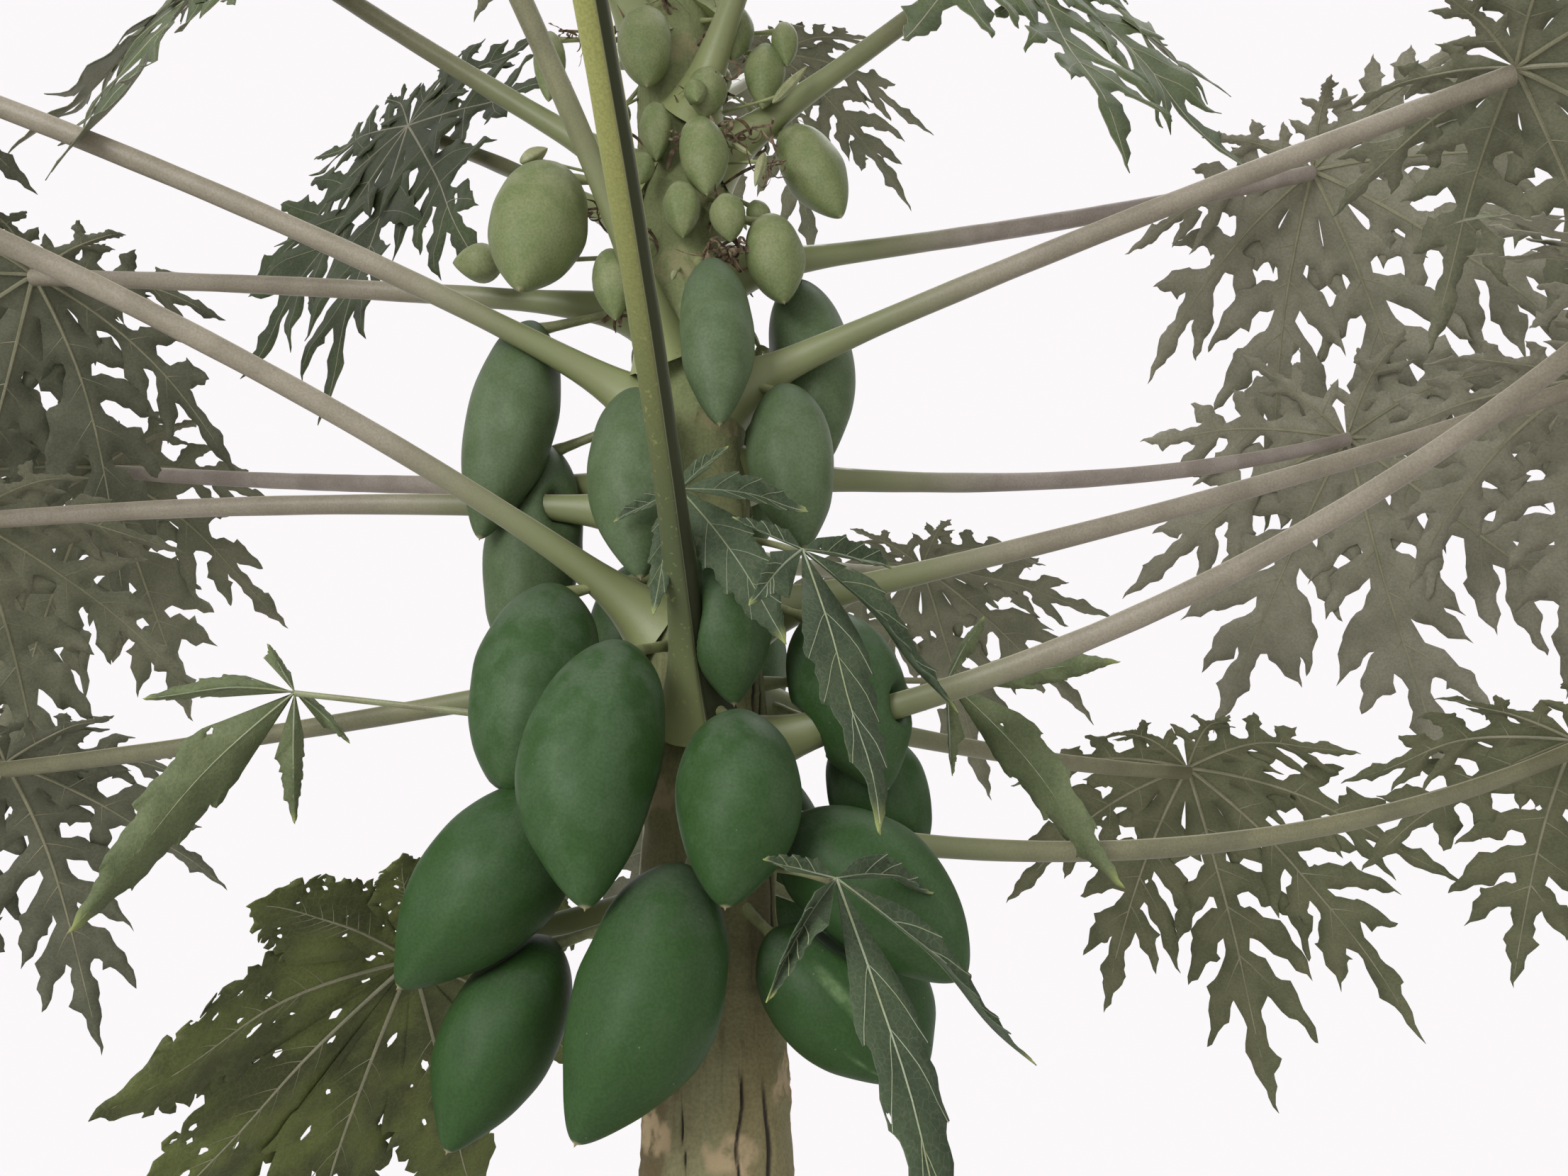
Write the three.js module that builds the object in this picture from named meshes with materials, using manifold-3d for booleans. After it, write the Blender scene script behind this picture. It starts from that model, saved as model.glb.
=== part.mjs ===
// A papaya tree: one leaning stem with leaf scars, a dense column of hanging fruit,
// long leaf stalks with deeply lobed blades, and a few small side shoots.
// Millimetres and degrees. The origin is the middle of the flat cut at ground level,
// +Z runs up, and a heading turns from +X towards +Y.
import * as THREE from 'three';
import { mergeVertices } from 'three/addons/utils/BufferGeometryUtils.js';
import Module from 'manifold-3d';

const wasm = await Module();
wasm.setup();

// The stem: its height, its lean at the tip, and its radius at the ground and per metre.
// Its last stretch is one piece with the tuft of young leaves.
const STEM_HEIGHT = 3200;
const TUFT_START = 3050;
const STEM_LEAN = 147;
const LEAN_POWER = 1.6;
const FOOT_RADIUS = 104;
const TAPER_PER_METRE = 17;
const ROOT_FLARE = 42;
const ROOT_FLARE_HEIGHT = 110;
const TIP_ROUNDING = 130;
const STEM_SIDES = 14;
const STEM_STEPS = 28;
const TIP_STEPS = 3;

// Room between pieces that touch on the plant.
const SEAT_GAP = 0.3;

// Leaf stalks: radius along the stalk and the clasping foot.
const STALK_RADIUS = 15;
const STALK_TIP_RADIUS = 12;
const CLASP_RADIUS = 12;
const CLASP_LENGTH = 45;
const STALK_SIDES = 5;
const STALK_STEPS = 6;
const STALK_START_DEPTH = 22;
const BLADE_LIFT = 1;

// Blades: lobes from the tip of the leaf round to its heel, as the angle from the
// leaf's forward direction, the share of the reach, and the side lobes of each half.
const GROWN_BLADE = {
  lobes: [
    [0, 1, 2],
    [38, 0.95, 2],
    [76, 0.82, 1],
    [114, 0.66, 1],
    [150, 0.46, 1],
  ],
  heelAngle: 172,
  sinusShare: 0.2,
};
const TUFT_BLADE = {
  lobes: [
    [0, 1, 1],
    [42, 0.9, 1],
    [88, 0.7, 1],
    [134, 0.46, 1],
  ],
  heelAngle: 168,
  sinusShare: 0.24,
};
const SHOOT_BLADE = {
  lobes: [
    [0, 1, 1],
    [50, 0.8, 1],
    [102, 0.5, 1],
  ],
  heelAngle: 140,
  sinusShare: 0.3,
};
const HEEL_SHARE = 0.1;
const BLADE_THICKNESS = 0.018;
const RIB_START = 0.24;
const RIB_END = [0, 0.62, 0.78];
const SIDE_LOBE_FORWARD = 0.35;
const SIDE_LOBE_WIDTH = [0.16, 0.17];
const NOTCH_FORWARD = 0.03;
const NOTCH_WIDTH = 0.055;
const LOBE_FOLD = 0.18;

// Leaves that show: height of the foot on the stem, heading, rise of the stalk at the
// foot and at its end, stalk length, reach of the longest lobe, turn of the blade away
// from the stalk's heading, its tilt below level, and the sag of its lobes.
const SHOWN_LEAVES = [
  [1640, 172, -5, -20, 300, 400, -30, 60, 0.15],
  [1740, 5, -11, 22, 1060, 440, 30, 35, 0.25],
  [1828, 340, 6, 38, 1070, 420, -25, 35, 0.25],
  [1860, 265, 44, 20, 1060, 400, 0, 10, 0.3],
  [1892, 36, -5, 4, 880, 460, 20, 50, 0.3],
  [1930, 166, -8, -3, 960, 430, -30, 45, 0.3],
  [1972, 204.5, 30, 13.6, 1060, 430, 0, 25, 0.3],
  [1990, 356, 11, 18, 1080, 440, 30, 30, 0.25],
  [2126, 175, 5, -3, 940, 440, -35, 50, 0.3],
  [2168, 156, 9, 13, 1110, 470, -20, 50, 0.25],
  [2187, 19.5, 2.3, 20, 1060, 520, 35, 55, 0.15],
  [2260, 198, 23.4, 11.6, 1040, 440, -20, 30, 0.35],
  [2286, 342, 17, 12, 980, 430, 20, 30, 0.3],
  [2319, 236, 53, 38, 900, 400, 0, 10, 0.35],
  [2415, 172, 10, 6, 960, 430, -45, 45, 0.4],
  [2481, 11, 14, 20, 980, 480, 30, 45, 0.3],
  [2608, 190, 27, 33, 640, 450, 45, 66, 0.1],
  [2645, 345, 28, 36, 500, 460, -45, 70, 0.1],
];

// Leaves behind the stem, in the same order of values.
const BACK_LEAVES = [
  [1850, 100, 5, 10, 900, 430, 0, 35, 0.3],
  [2080, 66, 14, 18, 920, 440, 0, 35, 0.3],
  [2535, 154, 38, 33, 590, 480, 80, 80, 0.1],
];

// Upper leaves follow the stem's spiral, each shorter and steeper than the one below.
const SPIRAL_ANGLE = 137.5;
const UPPER_LEAVES = 5;
const UPPER_FIRST = { height: 2700, heading: 300, rise: 38, length: 880, reach: 400 };
const UPPER_STEP = { height: 62, rise: 5.5, length: -52, reach: -16 };

// Young leaves of the tuft.
const TUFT_LEAVES = 6;
const TUFT_FIRST = { height: 3075, heading: 267.5, rise: 60, length: 450, reach: 250 };
const TUFT_STEP = { height: 16, rise: 3.5, length: -38, reach: -22 };

// Small leaves of side shoots, in the same order of values. The last value, where there is one,
// is the blade's roll about its longest lobe.
const SHOOTS = [
  [2068, 298, -14, -28, 232, 290, 10, 65, 0.1],
  [1675, 296, 0, -14, 250, 320, 10, 60, 0.1],
  [1836, 181, 7, 6, 443, 290, 10, 45, 0.15, 60],
  [1902, 6, 4, 0, 250, 270, -15, 45, 0.1, -60],
];
const SHOOT_RADIUS = 5;

// The front leaf has the thickest stalk of all.
const FRONT_LEAF = 3;
const FRONT_STALK_RADIUS = 17;

// Fruit: height, reach from the stem's middle and heading of the top, the same three
// of the tip, and the width.
const FRUIT = [
  [1905, 188, 245, 1623, 242, 243, 146],
  [1827, 186, 285, 1624, 217, 277, 128],
  [1671, 148, 265, 1410, 225, 237, 148],
  [1759, 165, 208, 1550, 338, 199, 148],
  [1604, 181, 193, 1392, 283, 199, 124],
  [1719, 145, 309, 1560, 302, 331, 138],
  [1607, 118, 305, 1460, 225, 328, 122],
  [2000, 182, 205, 1727, 228, 208, 144],
  [2389, 205, 182, 2079, 270, 184, 114],
  [2423, 108, 290, 2184, 128, 287, 92],
  [2239, 122, 239, 1988, 150, 247, 112],
  [2271, 130, 335, 2047, 150, 331, 108],
  [2471, 150, 9, 2203, 172, 10, 110],
  [2563, 186, 210, 2363, 238, 213, 122],
  [2644, 96, 288, 2519, 108, 289, 64],
  [2831, 89, 246, 2696, 100, 248, 76],
  [2683, 150, 352, 2528, 215, 349, 82],
  [2517, 125, 333, 2379, 145, 330, 76],
  [2048, 118, 290, 1846, 130, 288, 104],
  [1975, 148, 340, 1762, 212, 346, 134],
  [1858, 190, 20, 1681, 255, 17, 123],
  [1639, 165, 24, 1452, 245, 17, 118],
  [2237, 205, 166, 1925, 250, 166, 126],
];

// Fruit behind the stem hangs in tiers of two.
const BACK_FRUIT = 5;
const BACK_TIERS = 3;
const BACK_TIER_TOP = 2360;
const BACK_TIER_DROP = 270;
const BACK_TIER_HEADINGS = [62, 118];
const BACK_TIER_TURN = 12;
const BACK_FRUIT_LENGTH = 240;
const BACK_FRUIT_GROWTH = 12;
const BACK_FRUIT_WIDTH = 112;

const FRUIT_SIDES = 8;
const FRUIT_RINGS = 6;
const FRUIT_SHOULDER = 0.88;
const FRUIT_FULLNESS = 0.62;
const FRUIT_STALK_RADIUS = 7;
const FRUIT_STALK_RISE = 28;
const FRUIT_STALK_SINK = 14;

// Colours from the photo.
const BARK = { color: 0x8c7a66, roughness: 0.9, metalness: 0 };
const LEAF_GREEN = { color: 0x56694a, roughness: 0.7, metalness: 0 };
const LEAF_YELLOWING = { color: 0x7d8449, roughness: 0.75, metalness: 0 };
const SHOOT_GREEN = { color: 0x4b6a45, roughness: 0.65, metalness: 0 };
const FRUIT_GREEN = { color: 0x3d5f48, roughness: 0.5, metalness: 0 };
const YOUNG_FRUIT_GREEN = { color: 0x7c9162, roughness: 0.55, metalness: 0 };
const YOUNG_FRUIT_HEIGHT = 2480;

const rad = THREE.MathUtils.degToRad;
const UP = new THREE.Vector3(0, 0, 1);

// The middle of the stem at a height.
function stemMiddle(height) {
  const share = Math.max(height, 0) / STEM_HEIGHT;
  return new THREE.Vector3(-STEM_LEAN * Math.pow(share, LEAN_POWER), 0, height);
}

// The stem's radius at a height: taper, root flare and rounded tip.
function stemRadius(height) {
  const taper = FOOT_RADIUS - (TAPER_PER_METRE * height) / 1000;
  const flare = ROOT_FLARE * Math.exp(-height / ROOT_FLARE_HEIGHT);
  const pastRounding = Math.max(0, height - (STEM_HEIGHT - TIP_ROUNDING)) / TIP_ROUNDING;
  return (taper + flare) * Math.sqrt(Math.max(0.02, 1 - pastRounding * pastRounding));
}

// The level direction of a heading.
function outward(heading) {
  return new THREE.Vector3(Math.cos(rad(heading)), Math.sin(rad(heading)), 0);
}

// A point round the stem, from its height, its reach from the stem's middle and a heading.
function roundStem(height, reach, heading) {
  return stemMiddle(height).addScaledVector(outward(heading), reach);
}

// A closed tube: sectionAt gives the middle, the two cross directions and the radius
// at each share of the length.
function tube(sectionAt, sides, steps) {
  const geometry = new THREE.CylinderGeometry(1, 1, 1, sides, steps);
  const position = geometry.attributes.position;
  for (let i = 0; i < position.count; i += 1) {
    const section = sectionAt(position.getY(i) + 0.5);
    const point = section.middle.clone();
    point.addScaledVector(section.across, section.radius * position.getX(i));
    point.addScaledVector(section.over, section.radius * position.getZ(i));
    position.setXYZ(i, point.x, point.y, point.z);
  }
  return geometry;
}

// A closed geometry as a solid that can be joined and cut.
function solid(geometry) {
  const bare = geometry.clone();
  bare.deleteAttribute('normal');
  bare.deleteAttribute('uv');
  const merged = mergeVertices(bare, 1e-3);
  const index = merged.index.array;
  const kept = [];
  for (let i = 0; i < index.length; i += 3) {
    const [a, b, c] = [index[i], index[i + 1], index[i + 2]];
    if (a !== b && b !== c && a !== c) kept.push(a, b, c);
  }
  const vertProperties = new Float32Array(merged.attributes.position.array);
  const triVerts = new Uint32Array(kept);
  return new wasm.Manifold(new wasm.Mesh({ numProp: 3, vertProperties, triVerts }));
}

// The largest connected body of a solid, without the scraps that a cut leaves.
function mainBody(body) {
  const parts = body.decompose();
  return parts.reduce((best, part) => (part.volume() > best.volume() ? part : best));
}

// A solid back as a geometry.
function geometryOf(body) {
  const mesh = body.getMesh();
  const geometry = new THREE.BufferGeometry();
  geometry.setAttribute('position', new THREE.BufferAttribute(mesh.vertProperties, 3));
  geometry.setIndex(new THREE.BufferAttribute(mesh.triVerts, 1));
  geometry.computeVertexNormals();
  return geometry;
}

// A stretch of the stem with level sections, grown by some room where pieces seat on it.
function stemGeometry(from, to, steps, room) {
  const sectionAt = (share) => {
    const height = from + (to - from) * Math.pow(share, 1.15);
    return {
      middle: stemMiddle(height),
      across: new THREE.Vector3(1, 0, 0),
      over: new THREE.Vector3(0, -1, 0),
      radius: stemRadius(height) + room,
    };
  };
  return tube(sectionAt, STEM_SIDES, steps);
}

// A leaf stalk is an arc that starts inside the stem, and its rise changes evenly.
function stalkPoint(leaf, distance) {
  const turn = rad(leaf.riseEnd - leaf.rise) || 1e-6;
  const start = rad(leaf.rise);
  const angle = start + (turn * distance) / leaf.length;
  const scale = leaf.length / turn;
  const point = roundStem(leaf.height, stemRadius(leaf.height) - STALK_START_DEPTH, leaf.heading);
  point.addScaledVector(outward(leaf.heading), scale * (Math.sin(angle) - Math.sin(start)));
  point.z += scale * (Math.cos(start) - Math.cos(angle));
  return point;
}

// The direction of a leaf stalk at a distance from its foot.
function stalkDirection(leaf, distance) {
  const angle = rad(leaf.rise + ((leaf.riseEnd - leaf.rise) * distance) / leaf.length);
  return outward(leaf.heading).multiplyScalar(Math.cos(angle)).addScaledVector(UP, Math.sin(angle));
}

// The stalk's radius: the clasping foot, then an even taper.
function stalkRadius(leaf, distance) {
  const taper = leaf.radius + ((leaf.tipRadius - leaf.radius) * distance) / leaf.length;
  return taper + leaf.clasp * Math.exp(-distance / CLASP_LENGTH);
}

// The round section of a leaf stalk at a share of its length.
function stalkSection(leaf, share) {
  const distance = leaf.length * Math.pow(share, 1.6);
  const across = outward(leaf.heading - 90);
  return {
    middle: stalkPoint(leaf, distance),
    across,
    over: new THREE.Vector3().crossVectors(across, stalkDirection(leaf, distance)),
    radius: stalkRadius(leaf, distance),
  };
}

// The room that a stalk takes, where fruit presses against it.
function stalkSpace(leaf) {
  const sectionAt = (share) => {
    const section = stalkSection(leaf, share);
    return { ...section, radius: section.radius + SEAT_GAP };
  };
  return solid(tube(sectionAt, STALK_SIDES, STALK_STEPS));
}

// The frame of a leaf's blade: where the stalk meets it and its three directions.
function bladeFrame(leaf) {
  const heading = leaf.heading + leaf.turn;
  const forward = outward(heading).multiplyScalar(Math.cos(rad(leaf.tilt)));
  forward.addScaledVector(UP, -Math.sin(rad(leaf.tilt)));
  const left = outward(heading + 90).applyAxisAngle(forward, rad(leaf.roll));
  const normal = new THREE.Vector3().crossVectors(forward, left);
  const joint = stalkPoint(leaf, leaf.length).addScaledVector(normal, leaf.tipRadius + BLADE_LIFT);
  return { joint, forward, left, normal };
}

// A point of the blade: along a lobe's rib and off to its side, with the lobe's sag and fold.
function bladePoint(leaf, frame, angle, reach, along, aside) {
  const direction = frame.forward.clone().multiplyScalar(Math.cos(rad(angle)));
  direction.addScaledVector(frame.left, Math.sin(rad(angle)));
  const across = frame.forward.clone().multiplyScalar(-Math.sin(rad(angle)));
  across.addScaledVector(frame.left, Math.cos(rad(angle)));
  const point = frame.joint.clone().addScaledVector(direction, along);
  point.addScaledVector(across, aside);
  point.addScaledVector(frame.normal, LOBE_FOLD * Math.abs(aside));
  point.z -= (leaf.sag * along * along) / reach;
  return point;
}

// The lobes of a blade in order round it, from one side of the heel to the other.
function lobesAround(blade) {
  const oneSide = blade.lobes.slice(1);
  const other = oneSide.map(([angle, share, sides]) => [-angle, share, sides]).reverse();
  return [...other, blade.lobes[0], ...oneSide];
}

// The index of the entry whose angle is nearest to a wanted one, all round the circle.
function nearestByAngle(angles, wanted) {
  const gap = (angle) => Math.abs(Math.atan2(Math.sin(angle - wanted), Math.cos(angle - wanted)));
  return angles.reduce((best, angle, index) => (gap(angle) < gap(angles[best]) ? index : best), 0);
}

// A leaf as one closed body. The stalk's last ring opens into the blade's lower face. The
// blade is thick along its ribs and thin at its outline, which both of its faces share.
function leafGeometry(leaf) {
  const frame = bladeFrame(leaf);
  const lobes = lobesAround(leaf.blade);
  const half = (BLADE_THICKNESS * leaf.reach) / 2;
  const points = [];
  const faces = [];
  const addPoint = (point) => points.push(point) - 1;

  // The stalk: rings that turn right-handed about its direction, closed at the foot.
  const rings = [];
  for (let i = 0; i <= STALK_STEPS; i += 1) {
    const { middle, across, over, radius } = stalkSection(leaf, i / STALK_STEPS);
    const ring = [];
    for (let j = 0; j < STALK_SIDES; j += 1) {
      const angle = (2 * Math.PI * j) / STALK_SIDES;
      const point = middle.clone().addScaledVector(across, radius * Math.sin(angle));
      ring.push(addPoint(point.addScaledVector(over, radius * Math.cos(angle))));
    }
    rings.push(ring);
  }
  for (let j = 2; j < STALK_SIDES; j += 1) faces.push(rings[0][0], rings[0][j], rings[0][j - 1]);
  for (let i = 0; i < STALK_STEPS; i += 1) {
    for (let j = 0; j < STALK_SIDES; j += 1) {
      const k = (j + 1) % STALK_SIDES;
      faces.push(rings[i][j], rings[i][k], rings[i + 1][k]);
      faces.push(rings[i][j], rings[i + 1][k], rings[i + 1][j]);
    }
  }

  const edgePoint = (point) => {
    const index = addPoint(point);
    return { top: index, low: index };
  };
  const ribPoint = (point) => ({
    top: addPoint(point.clone().addScaledVector(frame.normal, half)),
    low: addPoint(point.clone().addScaledVector(frame.normal, -half)),
  });
  // A triangle of both faces. It turns one way on a lobe's left half, the other on its right.
  const face = (side, a, b, c) => {
    const order = side > 0 ? [a, c, b] : [a, b, c];
    faces.push(order[0].top, order[1].top, order[2].top);
    faces.push(order[0].low, order[2].low, order[1].low);
  };
  // The bay between two lobes, and the one on each side of the heel.
  const bay = (angle, share) => edgePoint(bladePoint(leaf, frame, angle, leaf.reach, share * leaf.reach, 0));
  const bays = [bay(-leaf.blade.heelAngle, HEEL_SHARE)];
  for (let i = 1; i < lobes.length; i += 1) {
    const angle = (lobes[i - 1][0] + lobes[i][0]) / 2;
    bays.push(bay(angle, leaf.blade.sinusShare * Math.min(1, lobes[i - 1][1] + 0.2, lobes[i][1] + 0.2)));
  }
  bays.push(bay(leaf.blade.heelAngle, HEEL_SHARE));

  // The lobes, each from its first rib point outwards. Round the stalk they leave an inner edge.
  const innerEdge = [];
  lobes.forEach(([angle, share, sideLobes], index) => {
    const reach = share * leaf.reach;
    const step = (RIB_END[sideLobes] - RIB_START) / sideLobes;
    const at = (along, aside) => bladePoint(leaf, frame, angle, reach, along * reach, aside * reach);
    const rib = [];
    for (let i = 0; i <= sideLobes; i += 1) rib.push(ribPoint(at(RIB_START + i * step, 0)));
    innerEdge.push(bays[index], rib[0]);
    const apex = edgePoint(at(1, 0));
    for (const side of [1, -1]) {
      let notch = side > 0 ? bays[index + 1] : bays[index];
      for (let i = 0; i < sideLobes; i += 1) {
        const tipAlong = RIB_START + (i + 1 + SIDE_LOBE_FORWARD) * step;
        const tip = edgePoint(at(tipAlong, side * SIDE_LOBE_WIDTH[i]));
        const next = edgePoint(at(RIB_START + (i + 1) * step + NOTCH_FORWARD, side * NOTCH_WIDTH));
        face(side, rib[i], notch, tip);
        face(side, rib[i], tip, rib[i + 1]);
        face(side, rib[i + 1], tip, next);
        notch = next;
      }
      face(side, rib[sideLobes], notch, apex);
    }
  });
  innerEdge.push(bays[lobes.length]);

  // The middle: a fan on the upper face, and on the lower face a funnel to the stalk's ring.
  const middle = addPoint(frame.joint.clone().addScaledVector(frame.normal, half));
  const angleOf = (index) => {
    const offset = points[index].clone().sub(frame.joint);
    return Math.atan2(offset.dot(frame.left), offset.dot(frame.forward));
  };
  const stalkCentre = stalkPoint(leaf, leaf.length);
  const ring = rings[STALK_STEPS];
  const ringAngles = ring.map((index) => {
    const offset = points[index].clone().sub(stalkCentre);
    return Math.atan2(offset.dot(frame.left), offset.dot(frame.forward));
  });
  const nearest = innerEdge.map((from, i) => {
    const to = innerEdge[(i + 1) % innerEdge.length];
    const direction = new THREE.Vector2(Math.cos(angleOf(from.low)), Math.sin(angleOf(from.low)));
    direction.add(new THREE.Vector2(Math.cos(angleOf(to.low)), Math.sin(angleOf(to.low))));
    return nearestByAngle(ringAngles, Math.atan2(direction.y, direction.x));
  });
  innerEdge.forEach((from, i) => {
    const next = (i + 1) % innerEdge.length;
    const to = innerEdge[next];
    faces.push(middle, from.top, to.top);
    faces.push(to.low, from.low, ring[nearest[i]]);
    for (let k = nearest[i]; k !== nearest[next]; k = (k + 1) % STALK_SIDES) {
      faces.push(to.low, ring[k], ring[(k + 1) % STALK_SIDES]);
    }
  });

  const geometry = new THREE.BufferGeometry();
  const values = points.flatMap((point) => point.toArray());
  geometry.setAttribute('position', new THREE.Float32BufferAttribute(values, 3));
  geometry.setIndex(faces);
  return geometry;
}

// The row of values of a leaf as named values.
function leafOf(row, blade = GROWN_BLADE, radius = STALK_RADIUS) {
  const [height, heading, rise, riseEnd, length, reach, turn, tilt, sag, roll = 0] = row;
  const slim = radius / STALK_RADIUS;
  return {
    height,
    heading,
    rise,
    riseEnd,
    length,
    reach,
    turn,
    tilt,
    sag,
    roll,
    blade,
    radius,
    tipRadius: STALK_TIP_RADIUS * slim,
    clasp: CLASP_RADIUS * slim,
  };
}

const stemSpace = solid(stemGeometry(0, TUFT_START + SEAT_GAP, STEM_STEPS, SEAT_GAP));

// A leaf as one solid, seated on the stem.
function leafSolid(leaf) {
  return mainBody(solid(leafGeometry(leaf)).subtract(stemSpace));
}

// Leaves that follow the spiral upwards from the first one of a set.
function spiralLeaves(count, first, step, blade) {
  const leaves = [];
  for (let i = 0; i < count; i += 1) {
    const rise = first.rise + step.rise * i;
    const row = [
      first.height + step.height * i,
      (first.heading + SPIRAL_ANGLE * i) % 360,
      rise,
      rise + 4,
      first.length + step.length * i,
      first.reach + step.reach * i,
      0,
      20 - rise * 0.3,
      0.45,
    ];
    leaves.push(leafOf(row, blade));
  }
  return leaves;
}

// The growing tip of the stem with its young leaves.
function tuftSolid() {
  const tip = solid(stemGeometry(TUFT_START + SEAT_GAP, STEM_HEIGHT, TIP_STEPS, 0));
  const leaves = spiralLeaves(TUFT_LEAVES, TUFT_FIRST, TUFT_STEP, TUFT_BLADE);
  return mainBody(leaves.map(leafSolid).reduce((whole, leaf) => whole.add(leaf), tip));
}

// A fruit's radius from its top to its tip, as a share of its half width.
function fruitShape(share) {
  return Math.pow(Math.sin(Math.PI * Math.pow(share, FRUIT_SHOULDER)), FRUIT_FULLNESS);
}

// A fruit's ends from its row of values.
function fruitOf([height, reach, heading, tipHeight, tipReach, tipHeading, width]) {
  return {
    height,
    reach,
    heading,
    width,
    top: roundStem(height, reach, heading),
    tip: roundStem(tipHeight, tipReach, tipHeading),
  };
}

// The fruit's body, turned about the line from its top to its tip.
function fruitGeometry(fruit, room) {
  const length = fruit.top.distanceTo(fruit.tip);
  const profile = [];
  for (let i = 0; i <= FRUIT_RINGS; i += 1) {
    const share = (1 - Math.cos((Math.PI * i) / FRUIT_RINGS)) / 2;
    const edge = i === 0 || i === FRUIT_RINGS;
    const radius = edge ? 0 : (fruit.width / 2) * fruitShape(share) + room;
    profile.push(new THREE.Vector2(radius, (share - 0.5) * (length + 2 * room)));
  }
  const geometry = new THREE.LatheGeometry(profile, FRUIT_SIDES);
  const along = fruit.tip.clone().sub(fruit.top).normalize();
  geometry.applyQuaternion(new THREE.Quaternion().setFromUnitVectors(new THREE.Vector3(0, 1, 0), along));
  const middle = fruit.top.clone().add(fruit.tip).multiplyScalar(0.5);
  return geometry.translate(middle.x, middle.y, middle.z);
}

// The fruit's stalk, from inside the stem into the fruit's top.
function fruitStalkGeometry(fruit) {
  const foot = roundStem(fruit.height + FRUIT_STALK_RISE, stemRadius(fruit.height) - 8, fruit.heading);
  const along = fruit.tip.clone().sub(fruit.top).normalize();
  const end = fruit.top.clone().addScaledVector(along, FRUIT_STALK_SINK);
  const across = outward(fruit.heading - 90);
  const direction = end.clone().sub(foot).normalize();
  const over = new THREE.Vector3().crossVectors(across, direction).normalize();
  const sectionAt = (share) => ({
    middle: foot.clone().lerp(end, share),
    across,
    over,
    radius: FRUIT_STALK_RADIUS,
  });
  return tube(sectionAt, STALK_SIDES, 1);
}

// Fruit hidden behind the stem, in tiers that turn a little from one to the next.
function backFruit() {
  const rows = [];
  for (let tier = 0; tier < BACK_TIERS; tier += 1) {
    for (const first of BACK_TIER_HEADINGS) {
      const heading = first + BACK_TIER_TURN * (tier % 2);
      const height = BACK_TIER_TOP - BACK_TIER_DROP * tier;
      const length = BACK_FRUIT_LENGTH + BACK_FRUIT_GROWTH * tier;
      const width = BACK_FRUIT_WIDTH + BACK_FRUIT_GROWTH * tier;
      const seat = stemRadius(height) + width / 2;
      rows.push([height, seat + 4, heading, height - length, seat + 34 + 16 * tier, heading, width]);
    }
  }
  return rows.slice(0, BACK_FRUIT);
}

const tree = new THREE.Group();
tree.name = 'papaya_tree';

function addMesh(name, geometry, finish) {
  const mesh = new THREE.Mesh(geometry, new THREE.MeshStandardMaterial(finish));
  mesh.name = name;
  tree.add(mesh);
}

const numbered = (name, index) => `${name}_${String(index + 1).padStart(2, '0')}`;

addMesh('stem', stemGeometry(0, TUFT_START, STEM_STEPS, 0), BARK);

const leaves = [...SHOWN_LEAVES, ...BACK_LEAVES].map((row, index) =>
  leafOf(row, GROWN_BLADE, index === FRONT_LEAF ? FRONT_STALK_RADIUS : STALK_RADIUS),
);
leaves.push(...spiralLeaves(UPPER_LEAVES, UPPER_FIRST, UPPER_STEP, GROWN_BLADE));
leaves.forEach((leaf, index) => {
  const finish = index === 0 ? LEAF_YELLOWING : LEAF_GREEN;
  addMesh(numbered('leaf', index), geometryOf(leafSolid(leaf)), finish);
});
addMesh('tip_tuft', geometryOf(tuftSolid()), LEAF_GREEN);

const shoots = SHOOTS.map((row) => leafOf(row, SHOOT_BLADE, SHOOT_RADIUS));
shoots.forEach((shoot, index) => {
  addMesh(numbered('shoot', index), geometryOf(leafSolid(shoot)), SHOOT_GREEN);
});

// Fruit presses flat against the leaf stalks, the shoots and the fruit beside it.
const taken = [...leaves, ...shoots].map(stalkSpace);
const fruits = [...FRUIT, ...backFruit()].map(fruitOf);
fruits.forEach((fruit, index) => {
  let body = solid(fruitGeometry(fruit, 0)).add(solid(fruitStalkGeometry(fruit))).subtract(stemSpace);
  for (const space of taken) body = body.subtract(space);
  const finish = fruit.height > YOUNG_FRUIT_HEIGHT ? YOUNG_FRUIT_GREEN : FRUIT_GREEN;
  addMesh(numbered('fruit', index), geometryOf(mainBody(body)), finish);
  taken.push(solid(fruitGeometry(fruit, SEAT_GAP)));
});

export default tree;
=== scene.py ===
# A papaya tree in fruit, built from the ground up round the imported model.
# Metres and degrees. +Z runs up, and a heading turns from +X towards +Y.
import math
import random

import bpy
import numpy as np
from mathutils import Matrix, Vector, geometry


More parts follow.
